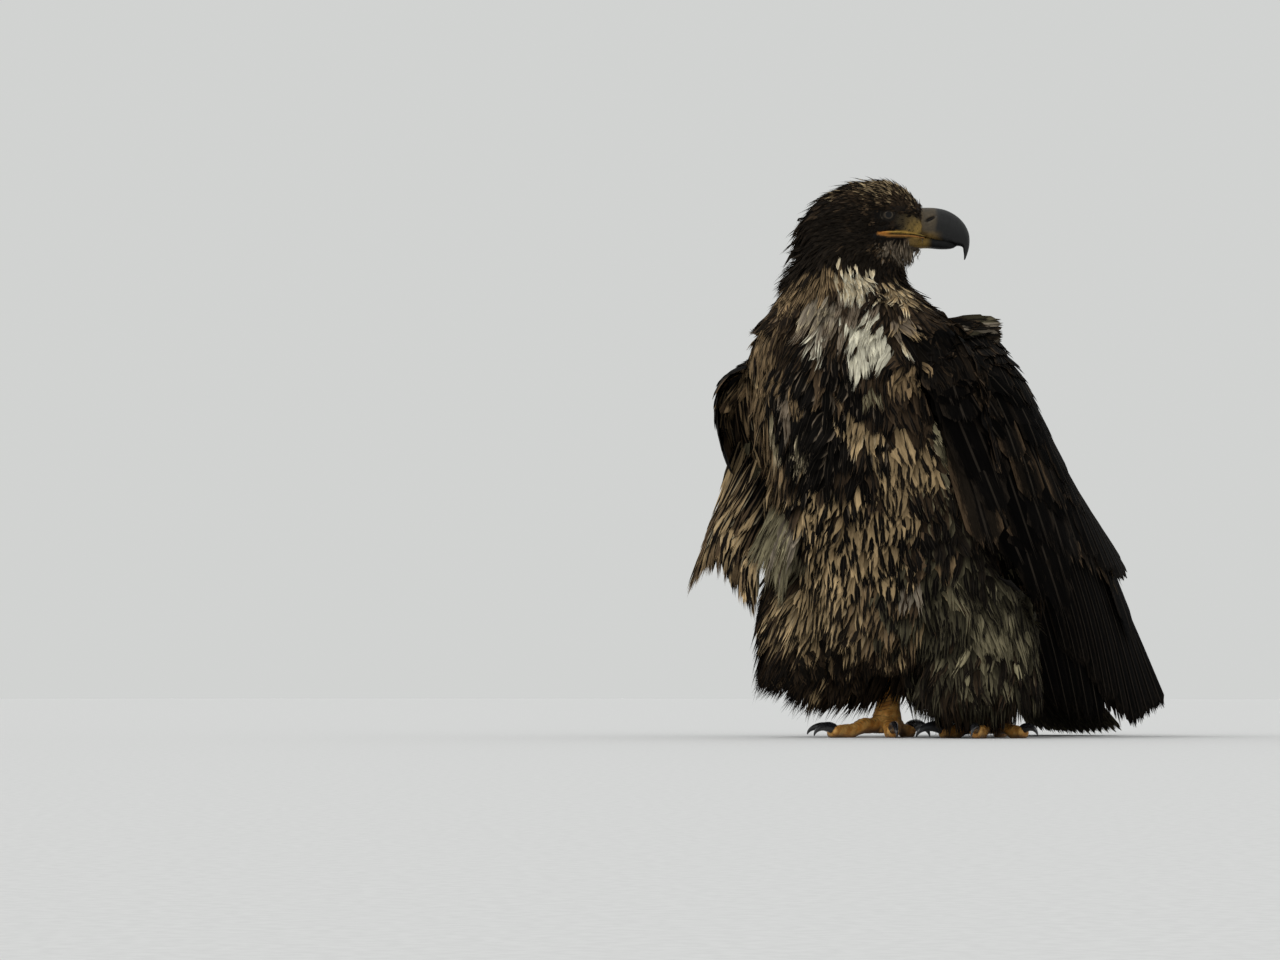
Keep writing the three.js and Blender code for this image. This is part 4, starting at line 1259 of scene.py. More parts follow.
def locked(roots, lines, gaps):
    # draws the far ends of neighbouring feathers together, as wind and wet do
    order = draw.permutation(len(roots))
    leaders = order[thinned(roots[order], gaps[order] * coatGrowth["lockGap"])]
    tree = KDTree(len(leaders))
    for k, place in enumerate(roots[leaders].tolist()):
        tree.insert(place, k)
    tree.balance()
    mine = leaders[[tree.find(place)[1] for place in roots.tolist()]]
    t = np.linspace(0, 1, lines.shape[1])[None, :, None]
    pull = coatGrowth["lockPull"] * mix(1, 0.45, headNear(roots, 110, 30))
    pull = (pull * draw.uniform(0.5, 1.3, len(roots)))[:, None, None]
    return lines + (lines[mine] - lines) * pull * t ** 2


roots = scatterRoots()
roots, rootNormals, rootPatches = nearestSkin(roots)
rootWays, rootSizes = lieAt(roots)
bareRoots = bareShare(roots)
gust = np.stack([ripple(roots, 60, 30 + k) + 0.7 * ripple(roots, 24, 40 + k) for k in range(3)], 1)
gust *= coatGrowth["wind"]
gust *= mix(1.0, 0.35, headNear(roots, 100, 40))[:, None]
gust *= mix(0.4, 1.0, ease((roots[:, 2:] - 50) / 70))
jitter = draw.normal(0, coatGrowth["jitter"], (len(roots), 3))
blown = unit(rootWays) + gust + jitter
free = ease((-rootNormals[:, 2:] - 0.1) / 0.5) * coatGrowth["hang"]
startWays = unit(mix(onTangent(blown, rootNormals), unit(blown), free))
ends = roots + startWays * rootSizes[:, 1:2] * 0.8
hiddenRoots = underWing(roots, rootNormals) & underWing(ends, rootNormals)
_, rootForward, rootUp = inHead(roots)
bristled = (rootForward > 36) & (rootForward < 60) & (rootUp > -18) & (draw.random(len(roots)) < 0.3)
keep = ((bareRoots < 0.5) & (draw.random(len(roots)) > bareRoots) | bristled) & ~hiddenRoots
roots, rootNormals, rootPatches = roots[keep], rootNormals[keep], rootPatches[keep]
startWays, rootSizes, bareRoots = startWays[keep], rootSizes[keep], bareRoots[keep]
print("feathers rooted,", len(roots))

scale = draw.normal(1, 0.15, len(roots)).clip(0.65, 1.4)
lengths = rootSizes[:, 1] * scale * (1 - bareRoots * 0.8)
widths = rootSizes[:, 2] * draw.normal(1, 0.15, len(roots)).clip(0.6, 1.5)
lifts = rootSizes[:, 3] * draw.normal(1, 0.16, len(roots)).clip(0.6, 1.5)
standing = draw.random(len(roots)) < coatGrowth["ruffled"]
lifts[standing] *= draw.uniform(1.25, 2.0, standing.sum())
softness = rootSizes[:, 4]
onLores = bareRoots > 0.5        # only short bristles
lengths[onLores] = draw.uniform(4.0, 7.0, onLores.sum())
widths[onLores] = 0.6
lifts[onLores] = 1.6
lines, ups = combed(roots, rootNormals, startWays, lengths, lifts)
lines = parted(locked(roots, lines, rootSizes[:, 0]))
lines[..., 2] = np.maximum(lines[..., 2], 1.0)
rootTones = tonesAt(lines[:, 3])
kindNames = ["hackle", "contour", "fluff", "covert"]
kind = np.where(softness > coatGrowth["fluffAbove"], 2, np.where(softness < coatGrowth["covertBelow"], 3, 1))
kind[widths < coatGrowth["hackleWidth"]] = 0


# heights and distances at which one piece of the coat gives way to the next
zones = {
    "rump": 220, "thigh": 190, "chest": 205, "arm": 380, "neck": 398, "head": 425, "crown": 12,
    "behind": 15, "nearThigh": 1.15, "nearWing": 9, "nearHead": 72,
}


def regionOf(points):
    heights = points[:, 2]
    names = np.full(len(points), "coatBelly", dtype=object)
    names[heights > zones["chest"]] = "coatChestRight"
    names[(heights > zones["chest"]) & (points[:, 0] > 0)] = "coatChestLeft"
    centre = np.array([columnAt(z)[1] for z in heights])
    back = (points[:, 1] > centre + zones["behind"]) & (heights < zones["neck"])
    names[back] = "coatBack"
    names[back & (heights < zones["rump"])] = "coatRump"
    for side in sideSign:
        for k, (x, y, z) in enumerate(points.tolist()):
            if z < zones["thigh"]:
                cx, cy, a, b = thighAt[side](z)
                if ((x - cx) / a) ** 2 + ((y - cy) / b) ** 2 < zones["nearThigh"]:
                    names[k] = "coatThigh" + side.capitalize()
            elif z < zones["arm"] and wingTrees[side].find_nearest((x, y, z))[3] < zones["nearWing"]:
                names[k] = "coatArm" + side.capitalize()
    names[heights > zones["neck"]] = "coatNeck"
    close = np.linalg.norm(points - bird["headPlace"], axis=1) < zones["nearHead"]
    names[close & (heights > zones["head"])] = "coatHead"
    names[(names == "coatHead") & (inHead(points)[2] > zones["crown"])] = "coatCrown"
    return names


regions = regionOf(roots)
for region in sorted(set(regions)):
    coat = newCoat()
    for k, kindName in enumerate(kindNames):
        pool = np.nonzero((regions == region) & (kind == k))[0]
        turns = draw.integers(0, len(kinds[kindName]), len(pool))
        for m, shape in enumerate(kinds[kindName]):
            some = pool[turns == m]
            if not len(some):
                continue
            thick = 0.5 if kindName == "hackle" else 0.8
            points = placeVanes(shape, lines[some], ups[some], widths[some], thick, 0.3,
                                draw.normal(0, 0.16, len(some)))
            tones = {key: values[some] for key, values in rootTones.items()}
            addVanes(coat, shape, points, widths[some], lengths[some], tones, rootPatches[some], 0.6)
    coatPiece(region, coat, featherFinish)
print("coat grown")


# wings: coverts and flight feathers on one curved face
plateThick = 0.9


def plateVane(shape, place, middle, half, root, end, base, rise, camber, shaftHeight=0.0, drift=0.0):
    # one feather laid along a curved face, its tip shifted sideways by drift
    points = []
    for t, s, h in zip(shape["t"], shape["s"], shape["h"]):
        high = base + rise * t ** 1.2 + h * plateThick - camber * s * s
        high += shaftHeight * (abs(s) < 0.1) * (h > -0.5)
        points.append(place(middle + s * half + drift * t * t, mix(root, end, t), high))
    return np.array(points)


def plainTones(vane, streak, tip, mark, light=1.0):
    return {
        "tint": np.array([palette[vane]]) * light,
        "streak": np.array([palette[streak]]) * light,
        "tip": np.array([palette[tip]]) * light,
        "mark": np.array([mark], float),
    }


def addPlate(coat, shape, points, width, length, tones, shaft=1.0):
    _, _, patch = nearestSkin(points[:1])
    addVanes(coat, shape, points[None], np.array([width]), np.array([length]), tones, patch, shaft)


coverts = {
    # rows from the shoulder down: place along the wing, feathers in the row, reach, lift at the root
    "rows": [(-0.10, 15, 0.09, -1.0), (-0.06, 16, 0.09, -0.8), (-0.02, 16, 0.10, -0.6),
             (0.02, 16, 0.10, -0.2), (0.06, 15, 0.11, 0.0), (0.10, 14, 0.12, 0.2),
             (0.145, 14, 0.14, 0.4), (0.19, 13, 0.17, 0.6), (0.24, 12, 0.21, 0.8),
             (0.29, 12, 0.25, 0.8), (0.34, 11, 0.29, 0.4), (0.385, 11, 0.33, -0.6)],
    "rise": 4.2, "outerRise": 1.6,      # how far the tips stand off, less along the outer contour
    "overlap": 1.0,
    "stray": 0.35,          # how unevenly the feathers lie
}


def wingCoverts(side):
    coat = newCoat()
    stray = coverts["stray"]
    for row, (root, count, reach, base) in enumerate(coverts["rows"]):
        for k in range(count):
            middle = mix(0.0, 1.03, (k + 0.5 + 0.5 * (row % 2)) / (count + 0.5)) + draw.normal(0, 0.012)
            q = root + draw.normal(0, 0.012)
            end = q + reach * draw.normal(1, 0.13)
            half = coverts["overlap"] / count * draw.normal(1, 0.1)
            shape = kinds["covert"][draw.integers(4)]
            outer = ease((middle - 0.66) / 0.26)
            rise = mix(coverts["rise"], coverts["outerRise"], outer) * draw.normal(1, stray)
            points = plateVane(shape, onWing(side), middle, half, q, end + 0.03 * outer, base - 2.2 * outer,
                               rise, 0.8, drift=draw.normal(0, 0.03))
            light = math.exp(draw.normal(0, 0.35))
            if outer > 0.5 and draw.random() < 0.4:
                tones = plainTones("umber", "black", "tan", (0.4, 0.06, 0.9), min(light, 1.3))
            elif row < 6:
                tones = plainTones("black", "ink", "umber", (0.3, 0.05, 0.5), light)
            elif draw.random() < 0.2:
                tones = plainTones("sooty", "black", "brown", (0.2, 0.04, 0.8), light)
            else:
                tones = plainTones("ink", "ink", "sooty", (0.1, 0.03, 0.8), light)
            addPlate(coat, shape, points, half * 300, reach * 430, tones)
    coatPiece("coverts" + side.capitalize(), coat, flightFinish)


longShape = {
    "pointed": [vaneShape(10, 14, 0.90, 50 + seed, 0.55, 0.25, 1.3) for seed in range(3)],
    "round": [vaneShape(12, 14, 0.95, 60 + seed, 0.6, 0.35, 2.6) for seed in range(3)],
}
# each layer as in the solids: feathers, from and to across the wing, root, lift, how far wind lifts the tips
layers = {
    "primaries": {"count": 9, "from": 0.01, "to": 0.86, "root": 0.45, "lift": -12.2, "blow": 0,
                  "shape": "pointed", "tip": through([[0, 0.955], [0.4, 0.985], [1, 0.995]])},
    "secondaries": {"count": 12, "from": 0.2, "to": 1.03, "root": 0.45, "lift": -7.4, "blow": 0,
                    "shape": "round", "tip": through([[0, 0.84], [0.4, 0.93], [0.7, 0.985], [1, 1.0]])},
    "tertials": {"count": 7, "from": 0.6, "to": 1.15, "root": 0.40, "lift": 1.8, "blow": 5,
                 "shape": "round", "tip": through([[0, 0.66], [0.6, 0.71], [1, 0.67]])},
}
slope = 2.0              # how much one edge of a flight feather stands higher than the other


def flightFeathers(side):
    coat = newCoat()
    for name, layer in layers.items():
        for k in range(layer["count"]):
            middle = mix(layer["from"], layer["to"], (k + 0.5) / layer["count"])
            half = (layer["to"] - layer["from"]) / layer["count"] * 0.72
            end = float(layer["tip"]((k + 0.5) / layer["count"])[0]) + draw.normal(0, 0.010)
            shape = longShape[layer["shape"]][draw.integers(3)]

            def place(p, q, out, middle=middle, half=half, layer=layer):
                tilt = (p - middle) / half * slope * 0.5
                blow = layer["blow"] * max(0.0, (q - 0.45) / 0.26) ** 2
                return wingAt(side, p, q, out + tilt + blow)

            points = plateVane(shape, place, middle, half, layer["root"], end, layer["lift"], 0.0, 1.0, 0.5)
            light = math.exp(draw.normal(0, 0.25))
            if name == "primaries":
                tones = plainTones("ink", "ink", "sooty", (0.06, 0.0, 0.25), light)
            else:
                tones = plainTones("ink", "ink", "sooty", (0.06, 0.01, 0.8), light)
            addPlate(coat, shape, points, half * 330, 240, tones)
    replaced = [name + "_" + side for name in layers]
    coatPiece("flight" + side.capitalize(), coat, flightFinish, replaced)


tailCount = 12
tailCoverts = [(-0.05, 9, 0.34), (0.05, 8, 0.32), (0.12, 8, 0.30)]      # root, feathers in the row, reach


def tailFeathers():
    coat = newCoat()
    for k in range(tailCount):
        middle = (k + 0.5) / tailCount
        fan = 1 - abs(2 * middle - 1)
        end = 1.005 - 0.05 * (2 * middle - 1) ** 2

        def place(p, q, out, middle=middle):
            tilt = (p - middle) * (14 if middle < 0.5 else -14)
            point = tailAt(p, q, out + tilt)
            point[2] = max(point[2], 0.0)
            return point

        shape = longShape["round"][draw.integers(3)]
        points = plateVane(shape, place, middle, 0.075, 0.0, end, 4.2 * fan + 1.6, 0.0, 0.3, 0.5)
        tones = plainTones("sooty", "black", "moss", (0.1, 0.03, 0.5), math.exp(draw.normal(0, 0.2)))
        addPlate(coat, shape, points, 9, 280, tones)
    for row, (root, count, reach) in enumerate(tailCoverts):
        for under in (0, 1):
            for k in range(count):
                middle = (k + 0.5 + 0.5 * (row % 2)) / (count + 0.5)
                shape = kinds["covert"][draw.integers(4)]
                base, rise = (-3.0, -4.0) if under else (10.0, 1.0)
                points = plateVane(shape, tailAt, middle, 0.12, root, root + reach, base, rise, 0.6)
                points[:, 2] = np.maximum(points[:, 2], 0.0)
                tones = plainTones("sooty", "black", "moss", (0.2, 0.2, 0.5), math.exp(draw.normal(0, 0.25)))
                addPlate(coat, shape, points, 14, 75, tones, 0.5)
    coatPiece("tailFan", coat, flightFinish, ["tail"])


scapulars = {
    # rows from the innermost flight feathers up: place, feathers in the row, reach, lift at the root
    "rows": [(0.40, 8, 0.15, 3.4), (0.35, 9, 0.17, 3.6), (0.28, 9, 0.19, 3.2), (0.21, 9, 0.19, 2.6),
             (0.13, 9, 0.19, 1.6)],
    "from": 0.56, "to": 1.15, "half": 0.062, "rise": 2.2,
    "sink": 2.6,            # each feather of a row lies lower than the one before, down into the back's coat
}


def longScapulars(side):
    # long feathers off the shoulder that lie over the roots of the innermost flight feathers
    coat = newCoat()
    for row, (root, count, reach, base) in enumerate(scapulars["rows"]):
        for k in range(count):
            middle = mix(scapulars["from"], scapulars["to"], (k + 0.5 * (row % 2)) / count)
            middle += draw.normal(0, 0.012)
            q = root + draw.normal(0, 0.014)
            end = q + reach * draw.normal(1, 0.12)
            shape = kinds["covert"][draw.integers(4)]
            base -= scapulars["sink"] * ease((middle - 0.6) / 0.2) * ease((1.1 - middle) / 0.2)
            rise = scapulars["rise"] * draw.normal(1, 0.3)
            points = plateVane(shape, onWing(side), middle, scapulars["half"], q, end, base, rise, 0.8,
                               drift=draw.normal(0, 0.03))
            tones = plainTones("ink", "ink", "umber", (0.1, 0.04, 0.6), math.exp(draw.normal(0, 0.3)))
            addPlate(coat, shape, points, 19, reach * 430, tones)
    coatPiece("scapulars" + side.capitalize(), coat, flightFinish)


for side in sideSign:
    wingCoverts(side)
    flightFeathers(side)
    longScapulars(side)
tailFeathers()
print("wings and tail made")


# tufts blown out by the wind
skirtAngles = {
    "left": (-115, -75, -35, 10, 55, 100, 140),
    "right": (-150, -110, -70, -30, 15, 60, 100),
}


def thighRing(side, at, heights, spread=0.0, shift=0.0):
    # places round a thigh's section, spread outwards and shifted along the wind, at other heights
    places = []
    for angle, height in zip(skirtAngles[side], np.broadcast_to(heights, len(skirtAngles[side]))):
        turn = math.radians(angle)
        place = onThigh(side, angle, at) + spread * np.array([math.sin(turn), -math.cos(turn), 0])
        places.append(np.array([place[0], place[1], height]) + shift * windSide)
    return places


# each tuft lies on a sheet through rows of places, from its roots down to its tips
tufts = {
    "flank_right": {
        "rows": [[(-136, -110, 292), (-110, -116, 258), (-78, -112, 212)],
                 [(-154, -112, 234), (-132, -124, 214), (-102, -120, 176)],
                 [(-169, -124, 184), (-146, -130, 184), (-112, -122, 148)],
                 [(-189, -131, 124), (-152, -130, 147), (-112, -114, 102)]],
        "count": 300, "start": (0.0, 0.62), "reach": (0.3, 0.5), "width": (7, 12), "drift": 0.05,
        "looks": [("black", "tan", "buff", 0.34), ("black", "buff", "cream", 0.36),
            ("buff", "black", "cream", 0.28), ("ink", "brown", "tan", 0.26)],
        "under": ("olive", "moss", "grey", 0.06), "depth": 10, "stands": 4, "kind": "contour",
    },
    "scapulars_left": {
        "rows": [[(54, -128, 350), (52, -116, 366), (54, -100, 380)],
                 [(86, -74, 350), (80, -62, 374), (78, -52, 388)],
                 [(112, -34, 346), (108, -22, 374), (104, -10, 388)]],
        "count": 150, "start": (0.0, 0.55), "reach": (0.34, 0.5), "width": (8, 14), "drift": 0.04,
        "looks": [("grey", "sooty", "sooty", 0.05), ("moss", "black", "sooty", 0.1),
            ("sooty", "black", "brown", 0.2), ("black", "black", "umber", 0.2)],
        "under": ("grey", "moss", "sooty", 0.0), "depth": 6, "stands": 3, "kind": "covert",
    },
    "drapeRight": {
        "rows": [[onBody(-24, 378), onBody(-50, 372), wingAt("right", 0.22, 0.04, 2)],
                 [onBody(-26, 338), onBody(-52, 334), wingAt("right", 0.17, 0.17, 2)],
                 [onBody(-28, 286), onBody(-56, 284) * 1.02, wingAt("right", 0.15, 0.33, 2)],
                 [onBody(-30, 232), onBody(-58, 234) * 1.03, wingAt("right", 0.15, 0.50, 2)]],
        "count": 330, "start": (0.0, 0.86), "reach": (0.24, 0.34), "width": (7, 11), "drift": 0.07,
        "looks": [("black", "tan", "buff", 0.34), ("black", "buff", "cream", 0.34),
            ("ink", "brown", "umber", 0.24), ("black", "umber", "brown", 0.2)],
        "under": ("sooty", "black", "umber", 0.1), "depth": 6, "stands": 3, "kind": "contour",
    },
    "foldRight": {
        "rows": [[(-84, -112, 240), (-50, -116, 218)],
                 [(-100, -122, 196), (-66, -128, 168)],
                 [(-122, -130, 150), (-72, -122, 106)]],
        "count": 120, "start": (0.0, 0.45), "reach": (0.4, 0.62), "width": (9, 15), "drift": 0.07,
        "looks": [("olive", "moss", "grey", 0.06), ("olive", "sooty", "sooty", 0.1),
            ("grey", "moss", "cream", 0.05), ("olive", "umber", "buff", 0.12)],
        "under": ("olive", "moss", "grey", 0.0), "depth": 6, "stands": 5, "kind": "fluff",
    },
    "drapeLeft": {
        "rows": [[onBody(50, 372), onBody(76, 372) * 1.01, wingAt("left", 0.30, 0.03, 5)],
                 [onBody(54, 334), onBody(78, 334) * 1.02, wingAt("left", 0.26, 0.18, 6)],
                 [onBody(58, 288), onBody(82, 288) * 1.04, wingAt("left", 0.18, 0.33, 6)],
                 [onBody(62, 246), onBody(84, 246) * 1.06, wingAt("left", 0.14, 0.46, 6)]],
        "count": 190, "start": (0.0, 0.8), "reach": (0.26, 0.4), "width": (10, 17), "drift": 0.16,
        "looks": [("black", "black", "umber", 0.1), ("black", "black", "brown", 0.1),
            ("sooty", "black", "umber", 0.2), ("black", "black", "sooty", 0.1)],
        "under": ("black", "black", "sooty", 0.0), "depth": 5, "stands": 4, "kind": "covert",
    },
    "skirtLeft": {
        "rows": [thighRing("left", 84, 88, -6),
                 thighRing("left", 62, 48, 4),
                 thighRing("left", 52, 5, 5)],
        "count": 420, "start": (0.0, 0.5), "reach": (0.34, 0.56), "width": (7, 12), "drift": 0.03,
        # the left thigh's skirt: dark plumage, darkened further as painted shade of the left wing over it
        "looks": [("moss", "sooty", "olive", 0.2), ("olive", "black", "moss", 0.3),
            ("sooty", "black", "moss", 0.2), ("umber", "black", "olive", 0.2)],
        "under": ("sooty", "black", "moss", 0.1), "depth": 8, "stands": 5, "kind": "fluff",
    },
    "skirtRight": {
        "rows": [thighRing("right", 92, (96, 92, 90, 88, 88, 96, 100), -8),
                 thighRing("right", 70, (74, 68, 64, 60, 62, 74, 80), 0, -4),
                 thighRing("right", 58, (54, 46, 40, 36, 39, 55, 62), 0, -7)],
        "count": 330, "start": (0.0, 0.5), "reach": (0.4, 0.62), "width": (5, 10), "drift": 0.05,
        "looks": [("umber", "black", "brown", 0.2), ("sooty", "black", "tan", 0.2),
            ("tan", "black", "olive", 0.3), ("sooty", "black", "brown", 0.2)],
        "under": ("sooty", "black", "umber", 0.1), "depth": 8, "stands": 4, "kind": "fluff",
    },
    "collar": {
        "rows": [[onBody(-84, 408), onBody(-46, 404), onBody(-6, 402)],
                 [onBody(-84, 394), onBody(-46, 388), onBody(-10, 382)],
                 [onBody(-84, 382) - 3 * windSide, onBody(-48, 372) - 5 * windSide, onBody(-16, 362)]],
        "count": 80, "start": (0.0, 0.4), "reach": (0.4, 0.7), "width": (4, 8), "drift": 0.08,
        "looks": [("umber", "sooty", "tan", 0.2), ("brown", "sooty", "grey", 0.2),
            ("sooty", "black", "brown", 0.1), ("brown", "umber", "tan", 0.1)],
        "under": ("brown", "umber", "tan", 0.1), "depth": 4, "stands": 4, "kind": "contour",
    },
}


def tuftPiece(name):
    tuft = tufts[name]
    coat = newCoat()
    sheet = sheetThrough(tuft["rows"])
    middle = np.mean([sheet(p, q) for p in (0.2, 0.5, 0.8) for q in (0.2, 0.5, 0.8)], axis=0)
    length = np.linalg.norm(sheet(0.5, 1) - sheet(0.5, 0))
    core = np.array([0, -40, middle[2]])
    step = 0.02
    for _ in range(tuft["count"]):
        p = draw.uniform(0, 1)
        q = draw.uniform(*tuft["start"])
        reach = draw.uniform(*tuft["reach"]) * (1 + 0.14 * math.sin(p * 17))
        end = min(q + reach, 1.0)
        drift = draw.normal(0, tuft["drift"])
        width = draw.uniform(*tuft["width"])
        layer = draw.uniform(-1, 0)
        lines, ups = [], []
        for t in (0, 0.25, 0.5, 0.75, 1):
            u = min(1, max(0, p + drift * t))
            v = mix(q, end, t)
            place = sheet(u, v)
            across = sheet(min(1, u + step), v) - sheet(max(0, u - step), v)
            along = sheet(u, min(1, v + step)) - sheet(u, max(0, v - step))
            up = unit(np.cross(across, along))
            up = up * math.copysign(1, np.dot(up, place - core))
            deep = layer * tuft["depth"] * mix(1, 0.4, v)
            lines.append(place + up * (deep + tuft["stands"] * t - 1))
            ups.append(up)
        hidden = layer < -0.6
        shapes = kinds["fluff" if hidden else tuft["kind"]]
        shape = shapes[draw.integers(len(shapes))]
        lines = parted(np.array([lines]))
        lines[..., 2] = np.maximum(lines[..., 2], 1.2)
        points = placeVanes(shape, lines, np.array([ups]), np.array([width]), 0.8, 0.25,
                            draw.normal(0, 0.25, 1))
        vane, streak, tip, streakWidth = tuft["under"] if hidden else tuft["looks"][draw.integers(4)]
        tones = plainTones(vane, streak, tip, (streakWidth, 0.1, 0.4), math.exp(draw.normal(0, 0.3)))
        addPlate(coat, shape, points[0], width, length * reach, tones, 0.6)
    replaced = [name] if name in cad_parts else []
    coatPiece(name + "Feathers", coat, featherFinish, replaced)


for name in tufts:
    tuftPiece(name)
print("tufts made")


# bill
billAt = through([
    [0, 44, -6, 0, 13, 14], [0.19, 58, -7.4, 4, 14, 13.2], [0.33, 69, -8.9, 9, 15.2, 12],
    [0.46, 79, -11.4, 11.5, 15.4, 10.5], [0.58, 87.8, -15, 15.5, 13.8, 8.8],
    [0.67, 94, -18.9, 21, 11.2, 7.2], [0.75, 98.2, -23.1, 30, 7.7, 5.2], [0.81, 99.9, -27.4, 43, 4.8, 3.8],
    [0.87, 100, -32.3, 55, 3.3, 2.8], [0.94, 99.4, -37.6, 65, 1.8, 1.7], [1, 98.4, -42.4, 75, 0.6, 0.6],
])
jawAt = through([[16, -20, -33, 15], [40, -21, -32.5, 13.5], [62, -22, -31.2, 10.5], [76, -24, -32.3, 8],
                 [84, -25, -32.2, 6], [90, -27, -31, 3.2]])
bill = {
    "rows": 140, "columns": 96,
    "nostril": (66.6, -5.6), "slit": (4.9, 1.5), "slant": math.radians(27), "nostrilDepth": 2.6,
    "cereEdge": 73.0, "cereBlend": 4.5, "cereStep": 0.35,
    "horn": (0.0085, 0.0088, 0.0088), "hornPale": (0.026, 0.025, 0.023), "cere": (0.066, 0.050, 0.030),
    # the darkest colour here is painted shade inside the nostril
    "edge": (0.17, 0.105, 0.032), "tipHorn": (0.007, 0.007, 0.0075), "nostrilShade": (0.006, 0.005, 0.005),
    "lowerRows": 80, "lowerColumns": 48, "lowerRoot": (0.12, 0.085, 0.06), "lowerBase": (0.19, 0.12, 0.034),
}


def upperBill():
    rings, tints = [], []
    for i in range(bill["rows"]):
        t = i / (bill["rows"] - 1)
        forward, up, tilt, high, half = billAt(t)
        lean = math.radians(tilt)
        ring, tint = [], []
        for j in range(bill["columns"]):
            turn = 2 * math.pi * j / bill["columns"]
            c, s = math.cos(turn), math.sin(turn)
            square = mix(0.62, 1.0, ease((t - 0.6) / 0.4))
            if s > 0:
                across = half * c * (1 - 0.30 * s * s)
                tall = s
            else:
                across = half * math.copysign(abs(c) ** square, c) * (1 - 0.14 * s * s)
                tall = -abs(s) ** mix(0.85, 1, ease((t - 0.6) / 0.4))
            f = forward + high * tall * math.sin(lean)
            u = up + high * tall * math.cos(lean)
            edgeLine = bill["cereEdge"] - 0.10 * (u + 8) - 3.5 * ease((-u - 4) / 16)
            cere = ease((edgeLine - f) / bill["cereBlend"] + 0.5)
            swell = 1 + (bill["cereStep"] * cere + 0.25 * math.sin(f * 0.9 + u * 0.3) * 0.3) / half
            x = f - bill["nostril"][0]
            y = u - bill["nostril"][1]
            a = x * math.cos(bill["slant"]) + y * math.sin(bill["slant"])
            b = -x * math.sin(bill["slant"]) + y * math.cos(bill["slant"])
            hole = ease(1.5 - math.hypot(a / bill["slit"][0], b / bill["slit"][1]))
            rim = ease(2.2 - math.hypot(a / (bill["slit"][0] + 0.6), b / (bill["slit"][1] + 0.7)))
            across = across * swell
            across -= math.copysign(min(abs(across), bill["nostrilDepth"] * hole), c) * (abs(c) > 0.2)
            across += math.copysign(0.35 * rim * (1 - hole), c)
            ring.append(headPoint(across, f, u))
            low = ease((-u - 15) / 6) * ease((80 - f) / 14)
            colour = mix(np.array(bill["horn"]), bill["hornPale"], ease((84 - f) / 22) * 0.5)
            # painted light and shade: the top of the bill lighter, as a reflection of the sky, and its
            # underside darker
            colour = colour * mix(0.55, 1.9, ease((tall * 0.5 + 0.5 - 0.25) / 0.75))
            colour = mix(colour, bill["tipHorn"], ease((t - 0.62) / 0.3))
            colour = mix(colour, bill["cere"], cere)
            colour = mix(colour, bill["edge"], low * 0.8)
            colour = mix(colour, np.array(bill["edge"]) * 0.7, cere * ease((62 - f) / 6) * 0.6)
            # painted shade inside the nostril
            colour = mix(colour, bill["nostrilShade"], hole)
            tint.append(colour)
        rings.append(ring)
        tints += tint
    mesh = tubeMesh("billUpper", rings, flip=True)
    tints += [bill["cere"], bill["tipHorn"]]
    setTints(mesh, np.array(tints))
    addPiece("billUpper", mesh, hornFinish, ["bill_upper"])


def lowerBill():
    rings, tints = [], []
    for i in range(bill["lowerRows"]):
        forward = mix(16, 91.5, i / (bill["lowerRows"] - 1))
        top, bottom, half = jawAt(min(forward, 90))
        close = 1 - ease((forward - 88) / 3.5) * 0.7
        ring = []
        for j in range(bill["lowerColumns"]):
            turn = 2 * math.pi * j / bill["lowerColumns"]
            c, s = math.cos(turn), math.sin(turn)
            across = half * math.copysign(abs(c) ** 0.7, c) * close
            u = mix(bottom, top, (math.copysign(abs(s) ** 0.85, s) * close + 1) / 2)
            ring.append(headPoint(across, forward, u))
            colour = mix(np.array(bill["lowerRoot"]), bill["lowerBase"], ease((forward - 44) / 10))
            colour = mix(colour, np.array(bill["horn"]) * 1.3, ease((forward - 61) / 8))
            tints.append(colour)
        rings.append(ring)
    mesh = tubeMesh("billLower", rings, flip=True)
    tints += [tints[0], np.array(bill["horn"])]
    setTints(mesh, np.array(tints))
    addPiece("billLower", mesh, jawFinish, ["bill_lower"])


hornFinish = surfaceMaterial("billHorn", 0.36, 0.3, 500, 0.0003, spread=0.45)
jawFinish = surfaceMaterial("jawHorn", 0.6, 0.08, 500, 0.0003, spread=0.4)
upperBill()
lowerBill()
print("bill made")


# eyes
eyeLook = {
    "pupil": 0.29, "iris": 0.66,           # angles from the middle of the eye
    "irisInner": (0.045, 0.033, 0.020, 1), "irisOuter": (0.022, 0.017, 0.011, 1),
    "black": (0.002, 0.002, 0.002, 1), "white": (0.012, 0.010, 0.008, 1),
    "roughness": 0.16, "gloss": 0.16, "coat": 0.10, "coatRoughness": 0.04,
}


def eyeMaterial():
    material, tree = newTree("eyeGlass")
    angle, x, y = threeOf(tree, "look")
    spot = vector(tree, times(tree, x, 9.0), times(tree, y, 9.0), angle)
    ring = sums(tree, "ADD", angle, times(tree, noise(tree, spot, 4.0, 4.0), 0.12))
    iris = blendColour(tree, band(tree, ring, 0.40, 0.68), eyeLook["irisInner"], eyeLook["irisOuter"])
    pupilEdge = band(tree, angle, eyeLook["pupil"], eyeLook["pupil"] + 0.03)
    colour = blendColour(tree, pupilEdge, eyeLook["black"], iris)
    irisEdge = band(tree, angle, eyeLook["iris"], eyeLook["iris"] + 0.06)
    colour = blendColour(tree, irisEdge, colour, eyeLook["white"])
    finishTree(tree, colour, eyeLook["roughness"], eyeLook["gloss"],
               {"Coat Weight": eyeLook["coat"], "Coat Roughness": eyeLook["coatRoughness"]})
    return material


